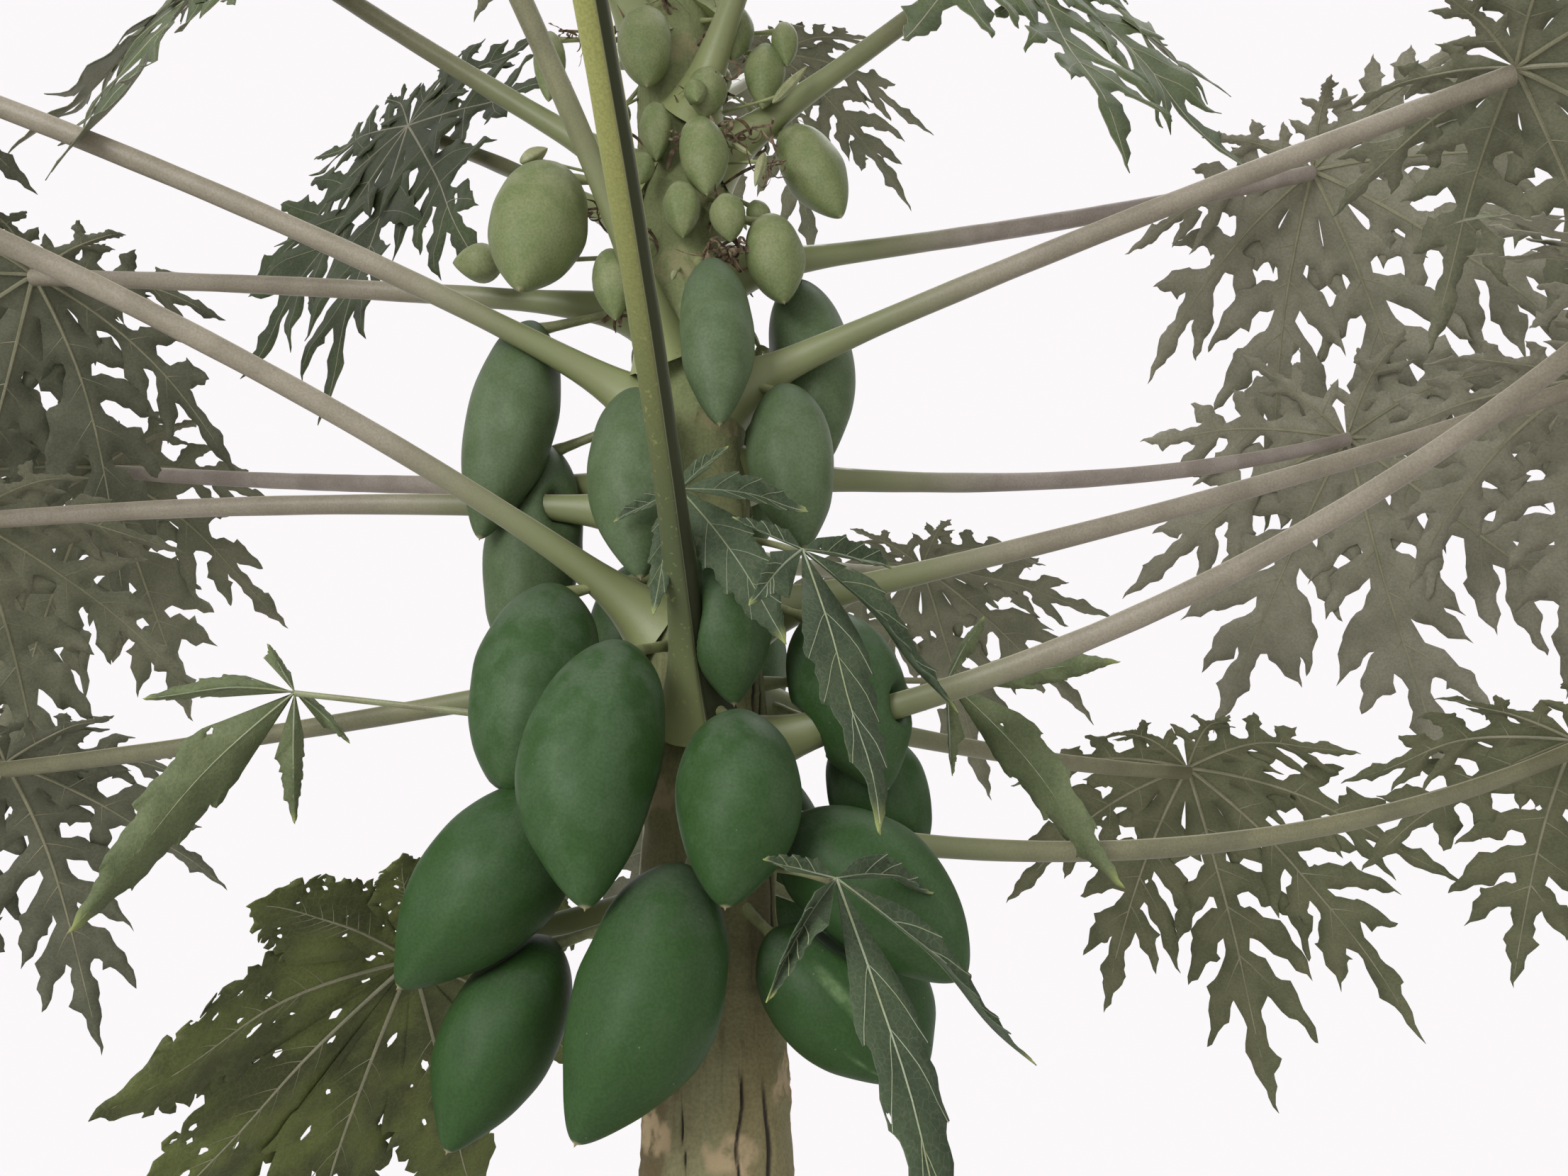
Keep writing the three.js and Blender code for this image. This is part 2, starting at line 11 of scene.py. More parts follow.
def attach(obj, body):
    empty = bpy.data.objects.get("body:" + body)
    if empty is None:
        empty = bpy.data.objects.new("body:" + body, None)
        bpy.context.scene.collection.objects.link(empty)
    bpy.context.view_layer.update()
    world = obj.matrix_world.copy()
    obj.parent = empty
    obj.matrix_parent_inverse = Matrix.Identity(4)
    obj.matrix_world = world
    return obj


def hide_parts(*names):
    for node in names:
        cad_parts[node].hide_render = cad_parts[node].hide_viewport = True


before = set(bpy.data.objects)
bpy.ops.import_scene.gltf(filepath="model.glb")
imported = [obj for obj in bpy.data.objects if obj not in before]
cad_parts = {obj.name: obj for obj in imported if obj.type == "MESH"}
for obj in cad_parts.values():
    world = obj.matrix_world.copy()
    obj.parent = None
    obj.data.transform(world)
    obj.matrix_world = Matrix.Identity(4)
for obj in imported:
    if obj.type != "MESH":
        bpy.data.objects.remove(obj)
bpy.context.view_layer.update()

# Camera, floor and light. The camera stands below the crown where the photo was taken from,
# and looks up at the fruit. The floor is a plain pale disc that ends below the picture.
CAMERA_PLACE = (0.034, -1.45, 1.55)
CAMERA_PITCH = 18
CAMERA_LENS = 28.26
CAMERA_CLIP = 0.02
FLOOR_RADIUS = 10
FLOOR_COLOUR = (0.55, 0.54, 0.52, 1)
FLOOR_ROUGHNESS = 0.95
SKY_COLOUR = (0.97, 0.94, 0.96, 1)
SKY_STRENGTH = 1.0
SOFTBOXES = [
    # name, place, point it faces, width, power
    ("key_light", (-1.9, -3.1, 2.6), (0, 0, 1.9), 1.6, 68),
    ("top_light", (0.6, 1.2, 6.4), (0, 0, 2.4), 3.0, 120),
]

bpy.ops.object.select_all(action="DESELECT")
bpy.ops.object.camera_add(location=CAMERA_PLACE, rotation=(math.radians(90 + CAMERA_PITCH), 0, 0))
camera = bpy.context.object
camera.data.lens = CAMERA_LENS
camera.data.clip_start = CAMERA_CLIP
bpy.context.scene.camera = camera
bpy.context.scene.view_settings.view_transform = "Standard"

bpy.ops.mesh.primitive_circle_add(vertices=96, radius=FLOOR_RADIUS, fill_type="NGON")
floor = bpy.context.object
floor.name = "floor"
floor_paint = bpy.data.materials.new("floor_paint")
floor_paint.use_nodes = True
floor_shader = floor_paint.node_tree.nodes["Principled BSDF"]
floor_shader.inputs["Base Color"].default_value = FLOOR_COLOUR
floor_shader.inputs["Roughness"].default_value = FLOOR_ROUGHNESS
floor.data.materials.append(floor_paint)

sky = bpy.data.worlds.new("soft_sky")
sky.use_nodes = True
sky_shader = sky.node_tree.nodes["Background"]
sky_shader.inputs["Color"].default_value = SKY_COLOUR
sky_shader.inputs["Strength"].default_value = SKY_STRENGTH
bpy.context.scene.world = sky
for name, place, target, width, power in SOFTBOXES:
    facing = (Vector(target) - Vector(place)).to_track_quat("-Z", "Y").to_euler()
    bpy.ops.object.light_add(type="AREA", location=place, rotation=facing)
    softbox = bpy.context.object
    softbox.name = name
    softbox.data.size = width
    softbox.data.energy = power


# The stem: one soft, fibrous stem that leans towards -X, with a root flare and a flat cut at
# the ground. Each shed leaf has left a pale heart-shaped scar with a raised rim and a faint
# ring, and the bark has split into long shallow cracks. It grows greener towards the crown.
STEM_HEIGHT = 3.2
STEM_LEAN = 0.147
LEAN_POWER = 1.6
FOOT_RADIUS = 0.104
TAPER_PER_METRE = 0.017
ROOT_FLARE = 0.042
ROOT_FLARE_HEIGHT = 0.11
TIP_ROUNDING = 0.13
STEM_SIDES = 168
STEM_STEPS = 570
STEM_SEED = 11
MERGE_DISTANCE = 0.00005
SPIRAL_ANGLE = 137.5
# The bark's soft unevenness: the height and the pitch of each set of waves.
BARK_WAVES = [(0.0022, 0.16), (0.0009, 0.035)]
ROOT_RIDGES = 5
ROOT_RIDGE_DEPTH = 0.006
ROOT_RIDGE_HEIGHT = 0.13
SCAR_SPACING = 0.043
SCAR_LOWEST = 0.12
SCAR_TOP_GAP = 0.1
SCAR_SIZE = (0.036, 0.021)
SCAR_RIM = 0.0022
SCAR_RAGGED = 0.16
RING_HEIGHT = 0.0011
RING_WIDTH = 0.0035
CRACKS = 46
CRACK_LENGTHS = (0.12, 0.55)
CRACK_STARTS = (0.02, 2.0)
CRACK_DEPTH = 0.0036
CRACK_WIDTH = 0.0036
CRACK_LIP = 0.0012
# The cracks that the photo shows, as heading, lower end and length, then others by a rule.
SHOWN_CRACKS = [(311, 1.22, 0.27), (248, 1.28, 0.19), (322, 1.06, 0.30)]
# The pale patch that the photo shows: heading, height, half width and half height.
PATCH = (285, 1.388, 0.031, 0.021)
PATCH_DEPTH = 0.0012
# The heights between which the bark turns from tan to green.
GREEN_HEIGHTS = (1.25, 2.3)
BARK_TAN = (0.205, 0.170, 0.078, 1)
BARK_GREY = (0.215, 0.205, 0.105, 1)
BARK_BROWN = (0.092, 0.064, 0.028, 1)
BARK_GREEN = (0.195, 0.228, 0.098, 1)
SCAR_COLOUR = (0.40, 0.31, 0.18, 1)
CRACK_COLOUR = (0.028, 0.022, 0.014, 1)
# The sockets of a mix node that mixes colours. Their names stand for other kinds of value too.
MIX_FACTOR, MIX_FIRST, MIX_SECOND, MIX_RESULT = 0, 6, 7, 2


def stem_middle(height):
    """The middle of the stem at a height, or at each of several heights."""
    height = np.asarray(height, float)
    lean = -STEM_LEAN * (np.maximum(height, 0) / STEM_HEIGHT) ** LEAN_POWER
    return np.stack([lean, 0 * height, height], axis=-1)


def stem_radius(height):
    """The stem's radius at a height: taper, root flare and rounded tip."""
    height = np.asarray(height, float)
    taper = FOOT_RADIUS - TAPER_PER_METRE * height
    flare = ROOT_FLARE * np.exp(-height / ROOT_FLARE_HEIGHT)
    rounding = np.maximum(0, height - (STEM_HEIGHT - TIP_ROUNDING)) / TIP_ROUNDING
    return (taper + flare) * np.sqrt(np.maximum(0.02, 1 - rounding**2))


def outward(heading):
    """The level direction of a heading."""
    turn = np.radians(heading)
    return np.stack([np.cos(turn), np.sin(turn), 0 * turn], axis=-1)


def round_stem(height, reach, heading):
    """A point round the stem from its height, its reach from the stem's middle and a heading."""
    return stem_middle(height) + outward(heading) * reach


def smooth(low, high, value):
    """0 below low and 1 above high, with a soft step between them."""
    share = np.clip((value - low) / (high - low), 0, 1)
    return share * share * (3 - 2 * share)


def short_way(turn, heading):
    """The angle from a heading to each turn, the short way round."""
    return np.angle(np.exp(1j * (turn - heading)))


def ripple(points, pitch, seed):
    """Soft seeded waves through space, from about -1 to 1, with a pitch in metres."""
    draw = np.random.default_rng(seed)
    total = 0
    for _ in range(6):
        wave = draw.normal(size=3)
        wave *= 2 * math.pi / pitch / np.linalg.norm(wave) * draw.uniform(0.6, 1.5)
        total = total + np.sin(points @ wave + draw.uniform(0, 2 * math.pi))
    return total / 2.6


def new_node(tree, kind, values=None, **settings):
    """A node with its settings and the values of its unlinked sockets."""
    made = tree.nodes.new(kind)
    for name, value in settings.items():
        setattr(made, name, value)
    for name, value in (values or {}).items():
        made.inputs[name].default_value = value
    return made


def feed(tree, source, target):
    """Puts a socket or a plain value into another socket."""
    if isinstance(source, bpy.types.NodeSocket):
        tree.links.new(source, target)
    else:
        target.default_value = source


def mixed(tree, factor, first, second, way="MIX"):
    """The colour between two colours, or the first times the second."""
    made = new_node(tree, "ShaderNodeMix", data_type="RGBA", blend_type=way)
    feed(tree, factor, made.inputs[MIX_FACTOR])
    feed(tree, first, made.inputs[MIX_FIRST])
    feed(tree, second, made.inputs[MIX_SECOND])
    return made.outputs[MIX_RESULT]


def ranged(tree, value, low, high, to_low=0.0, to_high=1.0):
    """A value carried from one range to another, with soft ends."""
    made = new_node(tree, "ShaderNodeMapRange", interpolation_type="SMOOTHSTEP")
    feed(tree, value, made.inputs["Value"])
    for name, number in zip(("From Min", "From Max", "To Min", "To Max"), (low, high, to_low, to_high)):
        made.inputs[name].default_value = number
    return made.outputs["Result"]


def calculated(tree, operation, first, second):
    """The result of one arithmetic step on two values."""
    made = new_node(tree, "ShaderNodeMath", operation=operation)
    feed(tree, first, made.inputs[0])
    feed(tree, second, made.inputs[1])
    return made.outputs[0]


def noise(tree, scale, detail=3.0, stretch=(1, 1, 1)):
    """Noise over the piece's own coordinates, stretched along its axes."""
    place = new_node(tree, "ShaderNodeTexCoord")
    mapping = new_node(tree, "ShaderNodeMapping")
    mapping.inputs["Scale"].default_value = stretch
    tree.links.new(place.outputs["Object"], mapping.inputs["Vector"])
    made = new_node(tree, "ShaderNodeTexNoise", {"Detail": detail})
    feed(tree, scale, made.inputs["Scale"])
    tree.links.new(mapping.outputs["Vector"], made.inputs["Vector"])
    return made.outputs["Fac"]


def attribute(tree, name):
    """A value that the mesh holds for each of its points."""
    return new_node(tree, "ShaderNodeAttribute", attribute_name=name).outputs["Fac"]


def new_material(name, roughness):
    """A material with its shader, ready for its colour and its relief."""
    made = bpy.data.materials.new(name)
    made.use_nodes = True
    shader = made.node_tree.nodes["Principled BSDF"]
    shader.inputs["Roughness"].default_value = roughness
    return made, made.node_tree, shader


def relief(tree, shader, height, strength, distance):
    """Fine relief on a surface from a height."""
    bump = new_node(tree, "ShaderNodeBump", {"Strength": strength, "Distance": distance})
    feed(tree, height, bump.inputs["Height"])
    tree.links.new(bump.outputs["Normal"], shader.inputs["Normal"])


def plant_skin_group():
    """Living skin: soft blotches of a second colour and a fine grain in light and height."""
    group = bpy.data.node_groups.new("plant_skin", "ShaderNodeTree")
    for name, kind in (
        ("Colour", "NodeSocketColor"),
        ("Blotch Colour", "NodeSocketColor"),
        ("Blotch Scale", "NodeSocketFloat"),
        ("Grain Scale", "NodeSocketFloat"),
    ):
        group.interface.new_socket(name=name, in_out="INPUT", socket_type=kind)
    group.interface.new_socket(name="Colour", in_out="OUTPUT", socket_type="NodeSocketColor")
    group.interface.new_socket(name="Height", in_out="OUTPUT", socket_type="NodeSocketFloat")
    entry = group.nodes.new("NodeGroupInput")
    leave = group.nodes.new("NodeGroupOutput")
    blotch = ranged(group, noise(group, entry.outputs["Blotch Scale"]), 0.38, 0.66)
    colour = mixed(group, blotch, entry.outputs["Colour"], entry.outputs["Blotch Colour"])
    grain = noise(group, entry.outputs["Grain Scale"], 5.0)
    lightness = ranged(group, grain, 0.25, 0.75, 0.85, 1.14)
    shaded = mixed(group, 1.0, colour, lightness, "MULTIPLY")
    group.links.new(shaded, leave.inputs["Colour"])
    group.links.new(grain, leave.inputs["Height"])
    return group


PLANT_SKIN = plant_skin_group()


def plant_skin(tree, colour, blotch, blotch_scale, grain_scale):
    """The shared skin group in a material: its colour and its height."""
    placed = new_node(tree, "ShaderNodeGroup", node_tree=PLANT_SKIN)
    feed(tree, colour, placed.inputs["Colour"])
    feed(tree, blotch, placed.inputs["Blotch Colour"])
    placed.inputs["Blotch Scale"].default_value = blotch_scale
    placed.inputs["Grain Scale"].default_value = grain_scale
    return placed.outputs["Colour"], placed.outputs["Height"]


def scar_relief(turn, height, radius, ragged, draw):
    """Scars and rings of shed leaves: how far the bark stands out there, and how much is scar."""
    raised, scar = np.zeros_like(height), np.zeros_like(height)
    for index in range(int((STEM_HEIGHT - SCAR_TOP_GAP - SCAR_LOWEST) / SCAR_SPACING)):
        middle = SCAR_LOWEST + SCAR_SPACING * (index + draw.uniform(-0.2, 0.2))
        heading = math.radians(40 + SPIRAL_ANGLE * index + draw.uniform(-9, 9))
        width, tall = np.array(SCAR_SIZE) * draw.uniform(0.85, 1.15)
        aside = short_way(turn, heading) * radius / width
        up = (height - middle) / tall + 0.55 * np.abs(aside) - 0.25
        distance = np.hypot(aside, up) + ragged
        age = 0.45 + 0.55 * smooth(0.1, 1.2, middle)
        raised += age * SCAR_RIM * np.exp(-(((distance - 1) / 0.2) ** 2))
        raised -= age * 0.6 * SCAR_RIM * smooth(1.0, 0.7, distance)
        scar = np.maximum(scar, age * smooth(1.1, 0.82, distance))
        ring = np.exp(-(((height - middle + 0.006 * np.sin(turn * 2 + index)) / RING_WIDTH) ** 2))
        raised += RING_HEIGHT * ring * (0.4 + 0.6 * np.cos((turn - heading) / 2) ** 2)
    heading, middle, width, tall = PATCH
    aside = short_way(turn, math.radians(heading)) * radius / width
    distance = np.hypot(aside, (height - middle) / tall) + 1.6 * ragged
    raised -= PATCH_DEPTH * smooth(1.05, 0.9, distance)
    return raised, np.maximum(scar, smooth(1.1, 0.85, distance))


def crack_relief(turn, height, radius, draw):
    """Long cracks: how far the bark stands out beside them and sinks in them, and how much is crack."""
    raised, crack = np.zeros_like(height), np.zeros_like(height)
    cracks = [(math.radians(heading), start, length) for heading, start, length in SHOWN_CRACKS]
    for _ in range(CRACKS):
        length, start = draw.uniform(*CRACK_LENGTHS), draw.uniform(*CRACK_STARTS)
        cracks.append((draw.uniform(0, 2 * math.pi), start, length))
    for heading, start, length in cracks:
        share = (height - start) / length
        bend = draw.uniform(-0.05, 0.05) * np.sin(3 * share) + 0.045 * np.sin(height * 31 + 5 * heading)
        bend = bend + 0.020 * np.sin(height * 83 + 9 * heading)
        wide = CRACK_WIDTH * draw.uniform(0.35, 1.0)
        aside = short_way(turn, heading + bend) * radius
        shown = smooth(0, 0.25, share) * smooth(1, 0.75, share)
        crack = np.maximum(crack, shown * np.exp(-((aside / wide) ** 2)))
        raised += CRACK_LIP * shown * np.exp(-(((aside - 2.2 * wide) / wide) ** 2))
    return raised - CRACK_DEPTH * crack, crack


def stem_relief(turn, height):
    """How far the bark stands out at points of the stem, and how much of scar and crack they have."""
    draw = np.random.default_rng(STEM_SEED)
    radius = stem_radius(height)
    places = stem_middle(height) + outward(np.degrees(turn)) * radius[..., None]
    raised = sum(tall * ripple(places, pitch, seed) for seed, (tall, pitch) in enumerate(BARK_WAVES, 1))
    raised += ROOT_RIDGE_DEPTH * np.cos(ROOT_RIDGES * turn + 1.1) * np.exp(-height / ROOT_RIDGE_HEIGHT)
    ragged = SCAR_RAGGED * ripple(places, 0.02, 3)
    scar_raised, scar = scar_relief(turn, height, radius, ragged, draw)
    crack_raised, crack = crack_relief(turn, height, radius, draw)
    return raised + scar_raised + crack_raised, scar, crack


def set_mark(mesh, name, values):
    """Stores a value for each point of a mesh, for its material to read."""
    mesh.attributes.new(name, "FLOAT", "POINT").data.foreach_set("value", np.asarray(values, np.float32))


bpy.ops.object.select_all(action="DESELECT")
bpy.ops.mesh.primitive_grid_add(x_subdivisions=STEM_SIDES, y_subdivisions=STEM_STEPS, size=1)
stem = bpy.context.object
stem.name = "stem_bark"
flat = np.zeros(len(stem.data.vertices) * 3)
stem.data.vertices.foreach_get("co", flat)
flat = flat.reshape(-1, 3) + 0.5
stem_turn = flat[:, 0] * 2 * math.pi
stem_height = flat[:, 1] * STEM_HEIGHT
stem_raised, stem_scar, stem_crack = stem_relief(stem_turn, stem_height)
fade = smooth(0, 0.01, stem_height) * smooth(STEM_HEIGHT, STEM_HEIGHT - 0.05, stem_height)
stem_reach = (stem_radius(stem_height) + stem_raised * fade)[:, None]
stem_points = stem_middle(stem_height) + outward(np.degrees(stem_turn)) * stem_reach
stem.data.vertices.foreach_set("co", stem_points.ravel())
set_mark(stem.data, "scar", stem_scar)
set_mark(stem.data, "crack", stem_crack)
set_mark(stem.data, "green", smooth(*GREEN_HEIGHTS, stem_height))
bpy.ops.object.mode_set(mode="EDIT")
bpy.ops.mesh.select_all(action="SELECT")
bpy.ops.mesh.remove_doubles(threshold=MERGE_DISTANCE)
bpy.ops.mesh.select_all(action="DESELECT")
bpy.ops.mesh.select_non_manifold()
bpy.ops.mesh.fill_holes(sides=0)
bpy.ops.mesh.select_all(action="SELECT")
bpy.ops.mesh.normals_make_consistent(inside=False)
bpy.ops.object.mode_set(mode="OBJECT")
bpy.ops.object.shade_smooth_by_angle(angle=math.radians(60))

bark, tree, shader = new_material("papaya_bark", 0.88)
bands = ranged(tree, noise(tree, 11.0, 4.0, (1, 1, 0.12)), 0.40, 0.60)
fibres = noise(tree, 90.0, 5.0, (1, 1, 0.05))
rings = noise(tree, 30.0, 3.0, (0.12, 0.12, 2.6))
stain = ranged(tree, noise(tree, 13.0, 5.0, (1, 1, 0.22)), 0.48, 0.62)
colour = mixed(tree, bands, BARK_TAN, BARK_GREY)
colour = mixed(tree, calculated(tree, "MULTIPLY", stain, 0.75), colour, BARK_BROWN)
green = calculated(tree, "MULTIPLY", attribute(tree, "green"), ranged(tree, bands, 0, 1, 0.75, 1.0))
colour = mixed(tree, green, colour, BARK_GREEN)
colour, bark_grain = plant_skin(tree, colour, colour, 9.0, 260.0)
colour = mixed(tree, ranged(tree, fibres, 0.56, 0.74, 0.0, 0.5), colour, BARK_BROWN)
colour = mixed(tree, ranged(tree, rings, 0.60, 0.72, 0.0, 0.35), colour, BARK_GREY)
fresh = ranged(tree, attribute(tree, "green"), 0.0, 1.0, 0.95, 0.30)
worn = ranged(tree, noise(tree, 55.0, 4.0), 0.3, 0.55)
scarred = calculated(tree, "MULTIPLY", attribute(tree, "scar"), worn)
colour = mixed(tree, calculated(tree, "MULTIPLY", scarred, fresh), colour, SCAR_COLOUR)
colour = mixed(tree, ranged(tree, attribute(tree, "crack"), 0.2, 0.8), colour, CRACK_COLOUR)
tree.links.new(colour, shader.inputs["Base Color"])
bark_height = calculated(tree, "ADD", fibres, calculated(tree, "ADD", rings, bark_grain))
relief(tree, shader, bark_height, 0.5, 0.0022)
stem.data.materials.append(bark)
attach(stem, "root")
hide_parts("stem")


# Leaf stalks: long, hollow, juicy stalks that stand out from the stem on a broad clasping
# foot. They are round below and flat above, with a pale edge on each side of the flat.
STALK_RADIUS = 0.015
STALK_TIP_RADIUS = 0.012
FRONT_LEAF = 3
FRONT_STALK_RADIUS = 0.017
CLASP_RADIUS = 0.012
CLASP_LENGTH = 0.045
STALK_START_DEPTH = 0.022
BLADE_LIFT = 0.001
STALK_SIDES = 18
STALK_STEPS = 46
STALK_SEED = 100
FOOT_DROP = 0.042
FOOT_DROP_LENGTH = 0.060
TOP_FLAT = 0.62
TOP_GROOVE = 0.13
TOP_EDGE = 0.86
# The ridge along the lower side of the stalk that crosses the front, as a share of its radius. Beyond it
# the flank is painted dark as shade.
FRONT_RIDGE = -0.41
FRONT_SIDES = 72
# Height of the foot on the stem, heading, rise of the stalk at the foot and at its end, stalk
# length, reach of the longest lobe, turn of the blade away from the stalk's heading, its tilt
# below level, the sag of its lobes, the kind of green, and the roll of the blade if it has one.
LEAF_VALUES = (
    "height", "heading", "rise", "rise_end", "length",
    "reach", "turn", "tilt", "sag", "green", "roll",
)
SHOWN_LEAVES = [
    (1.640, 172, -5, -20, 0.300, 0.400, -30, 60, 0.15, "yellowing"),
    (1.740, 5, -11, 22, 1.060, 0.440, 30, 35, 0.25, "moss"),
    (1.828, 340, 6, 38, 1.070, 0.420, -25, 35, 0.25, "pale"),
    (1.860, 265, 44, 20, 1.060, 0.400, 0, 10, 0.30, "olive"),
    (1.892, 36, -5, 4, 0.880, 0.460, 20, 50, 0.30, "moss"),
    (1.930, 166, -8, -3, 0.960, 0.430, -30, 45, 0.30, "dark"),
    (1.972, 204.5, 30, 13.6, 1.060, 0.430, 0, 25, 0.30, "olive"),
    (1.990, 356, 11, 18, 1.080, 0.440, 30, 30, 0.25, "pale"),
    (2.126, 175, 5, -3, 0.940, 0.440, -35, 50, 0.30, "olive"),
    (2.168, 156, 9, 13, 1.110, 0.470, -20, 50, 0.25, "olive"),
    (2.187, 19.5, 2.3, 20, 1.060, 0.520, 35, 55, 0.15, "pale"),
    (2.260, 198, 23.4, 11.6, 1.040, 0.440, -20, 30, 0.35, "dark"),
    (2.286, 342, 17, 12, 0.980, 0.430, 20, 30, 0.30, "olive"),
    (2.319, 236, 53, 38, 0.900, 0.400, 0, 10, 0.35, "olive"),
    (2.415, 172, 10, 6, 0.960, 0.430, -45, 45, 0.40, "dark"),
    (2.481, 11, 14, 20, 0.980, 0.480, 30, 45, 0.30, "pale"),
    (2.608, 190, 27, 33, 0.640, 0.450, 45, 66, 0.10, "olive"),
    (2.645, 345, 28, 36, 0.500, 0.460, -45, 70, 0.10, "olive"),
]
BACK_LEAVES = [
    (1.850, 100, 5, 10, 0.900, 0.430, 0, 35, 0.30, "dark"),
    (2.080, 66, 14, 18, 0.920, 0.440, 0, 35, 0.30, "olive"),
    (2.535, 154, 38, 33, 0.590, 0.480, 80, 80, 0.10, "dark"),
]
UPPER_LEAVES = 5
UPPER_FIRST = {"height": 2.700, "heading": 300, "rise": 38, "length": 0.880, "reach": 0.400}
UPPER_STEP = {"height": 0.062, "rise": 5.5, "length": -0.052, "reach": -0.016}
UPPER_SAG = 0.45
UPPER_BEND = 4
# Tan is painted light on the brightly lit stalks, purplish grey is painted shade on the far stalks, and
# the rest stay olive. By the leaves' numbers, and then the colour of each tone with its shade.
LIT_TAN_STALKS = (3, 7, 8, 9, 12, 13, 15)
SHADED_GREY_STALKS = (10, 11, 16)
STALK_COLOURS = {
    "tan": ((0.305, 0.272, 0.206, 1), (0.252, 0.224, 0.164, 1)),
    "grey": ((0.310, 0.270, 0.232, 1), (0.240, 0.205, 0.172, 1)),
    "olive": ((0.205, 0.200, 0.112, 1), (0.158, 0.155, 0.086, 1)),
}
STALK_FOOT_GREEN = (0.310, 0.350, 0.145, 1)
STALK_NEAR_GREEN = (0.172, 0.194, 0.086, 1)
NEAR_REACH = (0.16, 0.42)
# Painted light and shade on the front stalk: its lit face colour, and a painted shade over its part near
# the stem that fades out between these distances along it.
FRONT_LIT = (0.365, 0.378, 0.130, 1)
FRONT_LOW_SHADE = (0.066, 0.086, 0.044, 1)
FRONT_SHADE_REACH = (0.15, 0.85)
# Painted shade on the front stalk's flank beyond its ridge.
FRONT_FLANK_SHADE = (0.042, 0.048, 0.024, 1)
STALK_EDGE = (0.50, 0.47, 0.36, 1)


def leaf_of(row, blade="grown", radius=STALK_RADIUS):
    """A leaf's row of values as named values, with the kind of its blade and its stalk's sizes."""
    slim = radius / STALK_RADIUS
    return {
        "roll": 0,
        **dict(zip(LEAF_VALUES, row)),
        "blade": blade,
        "radius": radius,
        "tip_radius": STALK_TIP_RADIUS * slim,
        "clasp": CLASP_RADIUS * slim,
    }


def spiral_leaves(count, first, step, blade, green):
    """Leaves that follow the stem's spiral upwards from the first one of a set."""
    leaves = []
    for index in range(count):
        rise = first["rise"] + step["rise"] * index
        row = (
            first["height"] + step["height"] * index,
            (first["heading"] + SPIRAL_ANGLE * index) % 360,
            rise,
            rise + UPPER_BEND,
            first["length"] + step["length"] * index,
            first["reach"] + step["reach"] * index,
            0,
            20 - rise * 0.3,
            UPPER_SAG,
            green,
        )
        leaves.append(leaf_of(row, blade))
    return leaves


def stalk_line(leaf, distance):
    """Points of a stalk's middle line and its directions at distances from its foot."""
    distance = np.asarray(distance, float)
    turn = math.radians(leaf["rise_end"] - leaf["rise"]) or 1e-6
    start = math.radians(leaf["rise"])
    angle = start + turn * distance / leaf["length"]
    scale = leaf["length"] / turn
    foot = round_stem(leaf["height"], stem_radius(leaf["height"]) - STALK_START_DEPTH, leaf["heading"])
    level = outward(leaf["heading"])
    points = foot + level * (scale * (np.sin(angle) - math.sin(start)))[..., None]
    points[..., 2] += scale * (math.cos(start) - np.cos(angle))
    directions = level * np.cos(angle)[..., None]
    directions[..., 2] += np.sin(angle)
    return points, directions


def stalk_width(leaf, distance):
    """A stalk's radius: the clasping foot, then an even taper."""
    taper = leaf["radius"] + (leaf["tip_radius"] - leaf["radius"]) * distance / leaf["length"]
    return taper + leaf["clasp"] * np.exp(-distance / CLASP_LENGTH)


def foot_drop(leaf, distance):
    """How far a stalk's foot runs down the stem below its round part."""
    slim = leaf["radius"] / STALK_RADIUS
    return slim * FOOT_DROP * np.exp(-distance / (FOOT_DROP_LENGTH * slim))


def skin(rings):
    """Faces that join a row of closed rings of points, with both ends closed."""
    steps, sides = rings.shape[:2]
    first = np.arange(steps - 1)[:, None] * sides + np.arange(sides)
    second = np.arange(steps - 1)[:, None] * sides + (np.arange(sides) + 1) % sides
    quads = np.stack([first, second, second + sides, first + sides], axis=-1).reshape(-1, 4).tolist()
    ends = [list(range(sides))[::-1], list(range((steps - 1) * sides, steps * sides))]
    return rings.reshape(-1, 3), quads + ends


def select_only(piece):
    """Selects one piece and makes it the active one."""
    bpy.ops.object.select_all(action="DESELECT")
    piece.select_set(True)
    bpy.context.view_layer.objects.active = piece


class Bunch:
    """Many small shapes of one kind, gathered to become one mesh."""

    def __init__(self):
        self.points, self.faces, self.count, self.marks = [], [], 0, {}

    def add(self, points, faces, **marks):
        """Adds a shape, with a value for each of its points under each mark's name."""
        self.points.append(np.asarray(points, float))
        self.faces += [[corner + self.count for corner in face] for face in faces]
        self.count += len(points)
        for name, values in marks.items():
            values = np.broadcast_to(np.asarray(values, float), (len(points),))
            self.marks.setdefault(name, []).append(values)

    def piece(self, name, material, slot, nodes, sharpest=50):
        """The finished piece, riding on the plant in place of its CAD nodes."""
        mesh = bpy.data.meshes.new(name)
        mesh.from_pydata(np.concatenate(self.points).tolist(), [], self.faces)
        for mark, values in self.marks.items():
            set_mark(mesh, mark, np.concatenate(values))
        made = bpy.data.objects.new(name, mesh)
        bpy.context.scene.collection.objects.link(made)
        made.data.materials.append(material)
        select_only(made)
        bpy.ops.object.shade_smooth_by_angle(angle=math.radians(sharpest))
        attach(made, "root")
        if nodes:
            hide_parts(*nodes)
        return made


def turns(sides):
    """The angles of evenly spread points round a line."""
    return np.arange(sides) * 2 * math.pi / sides


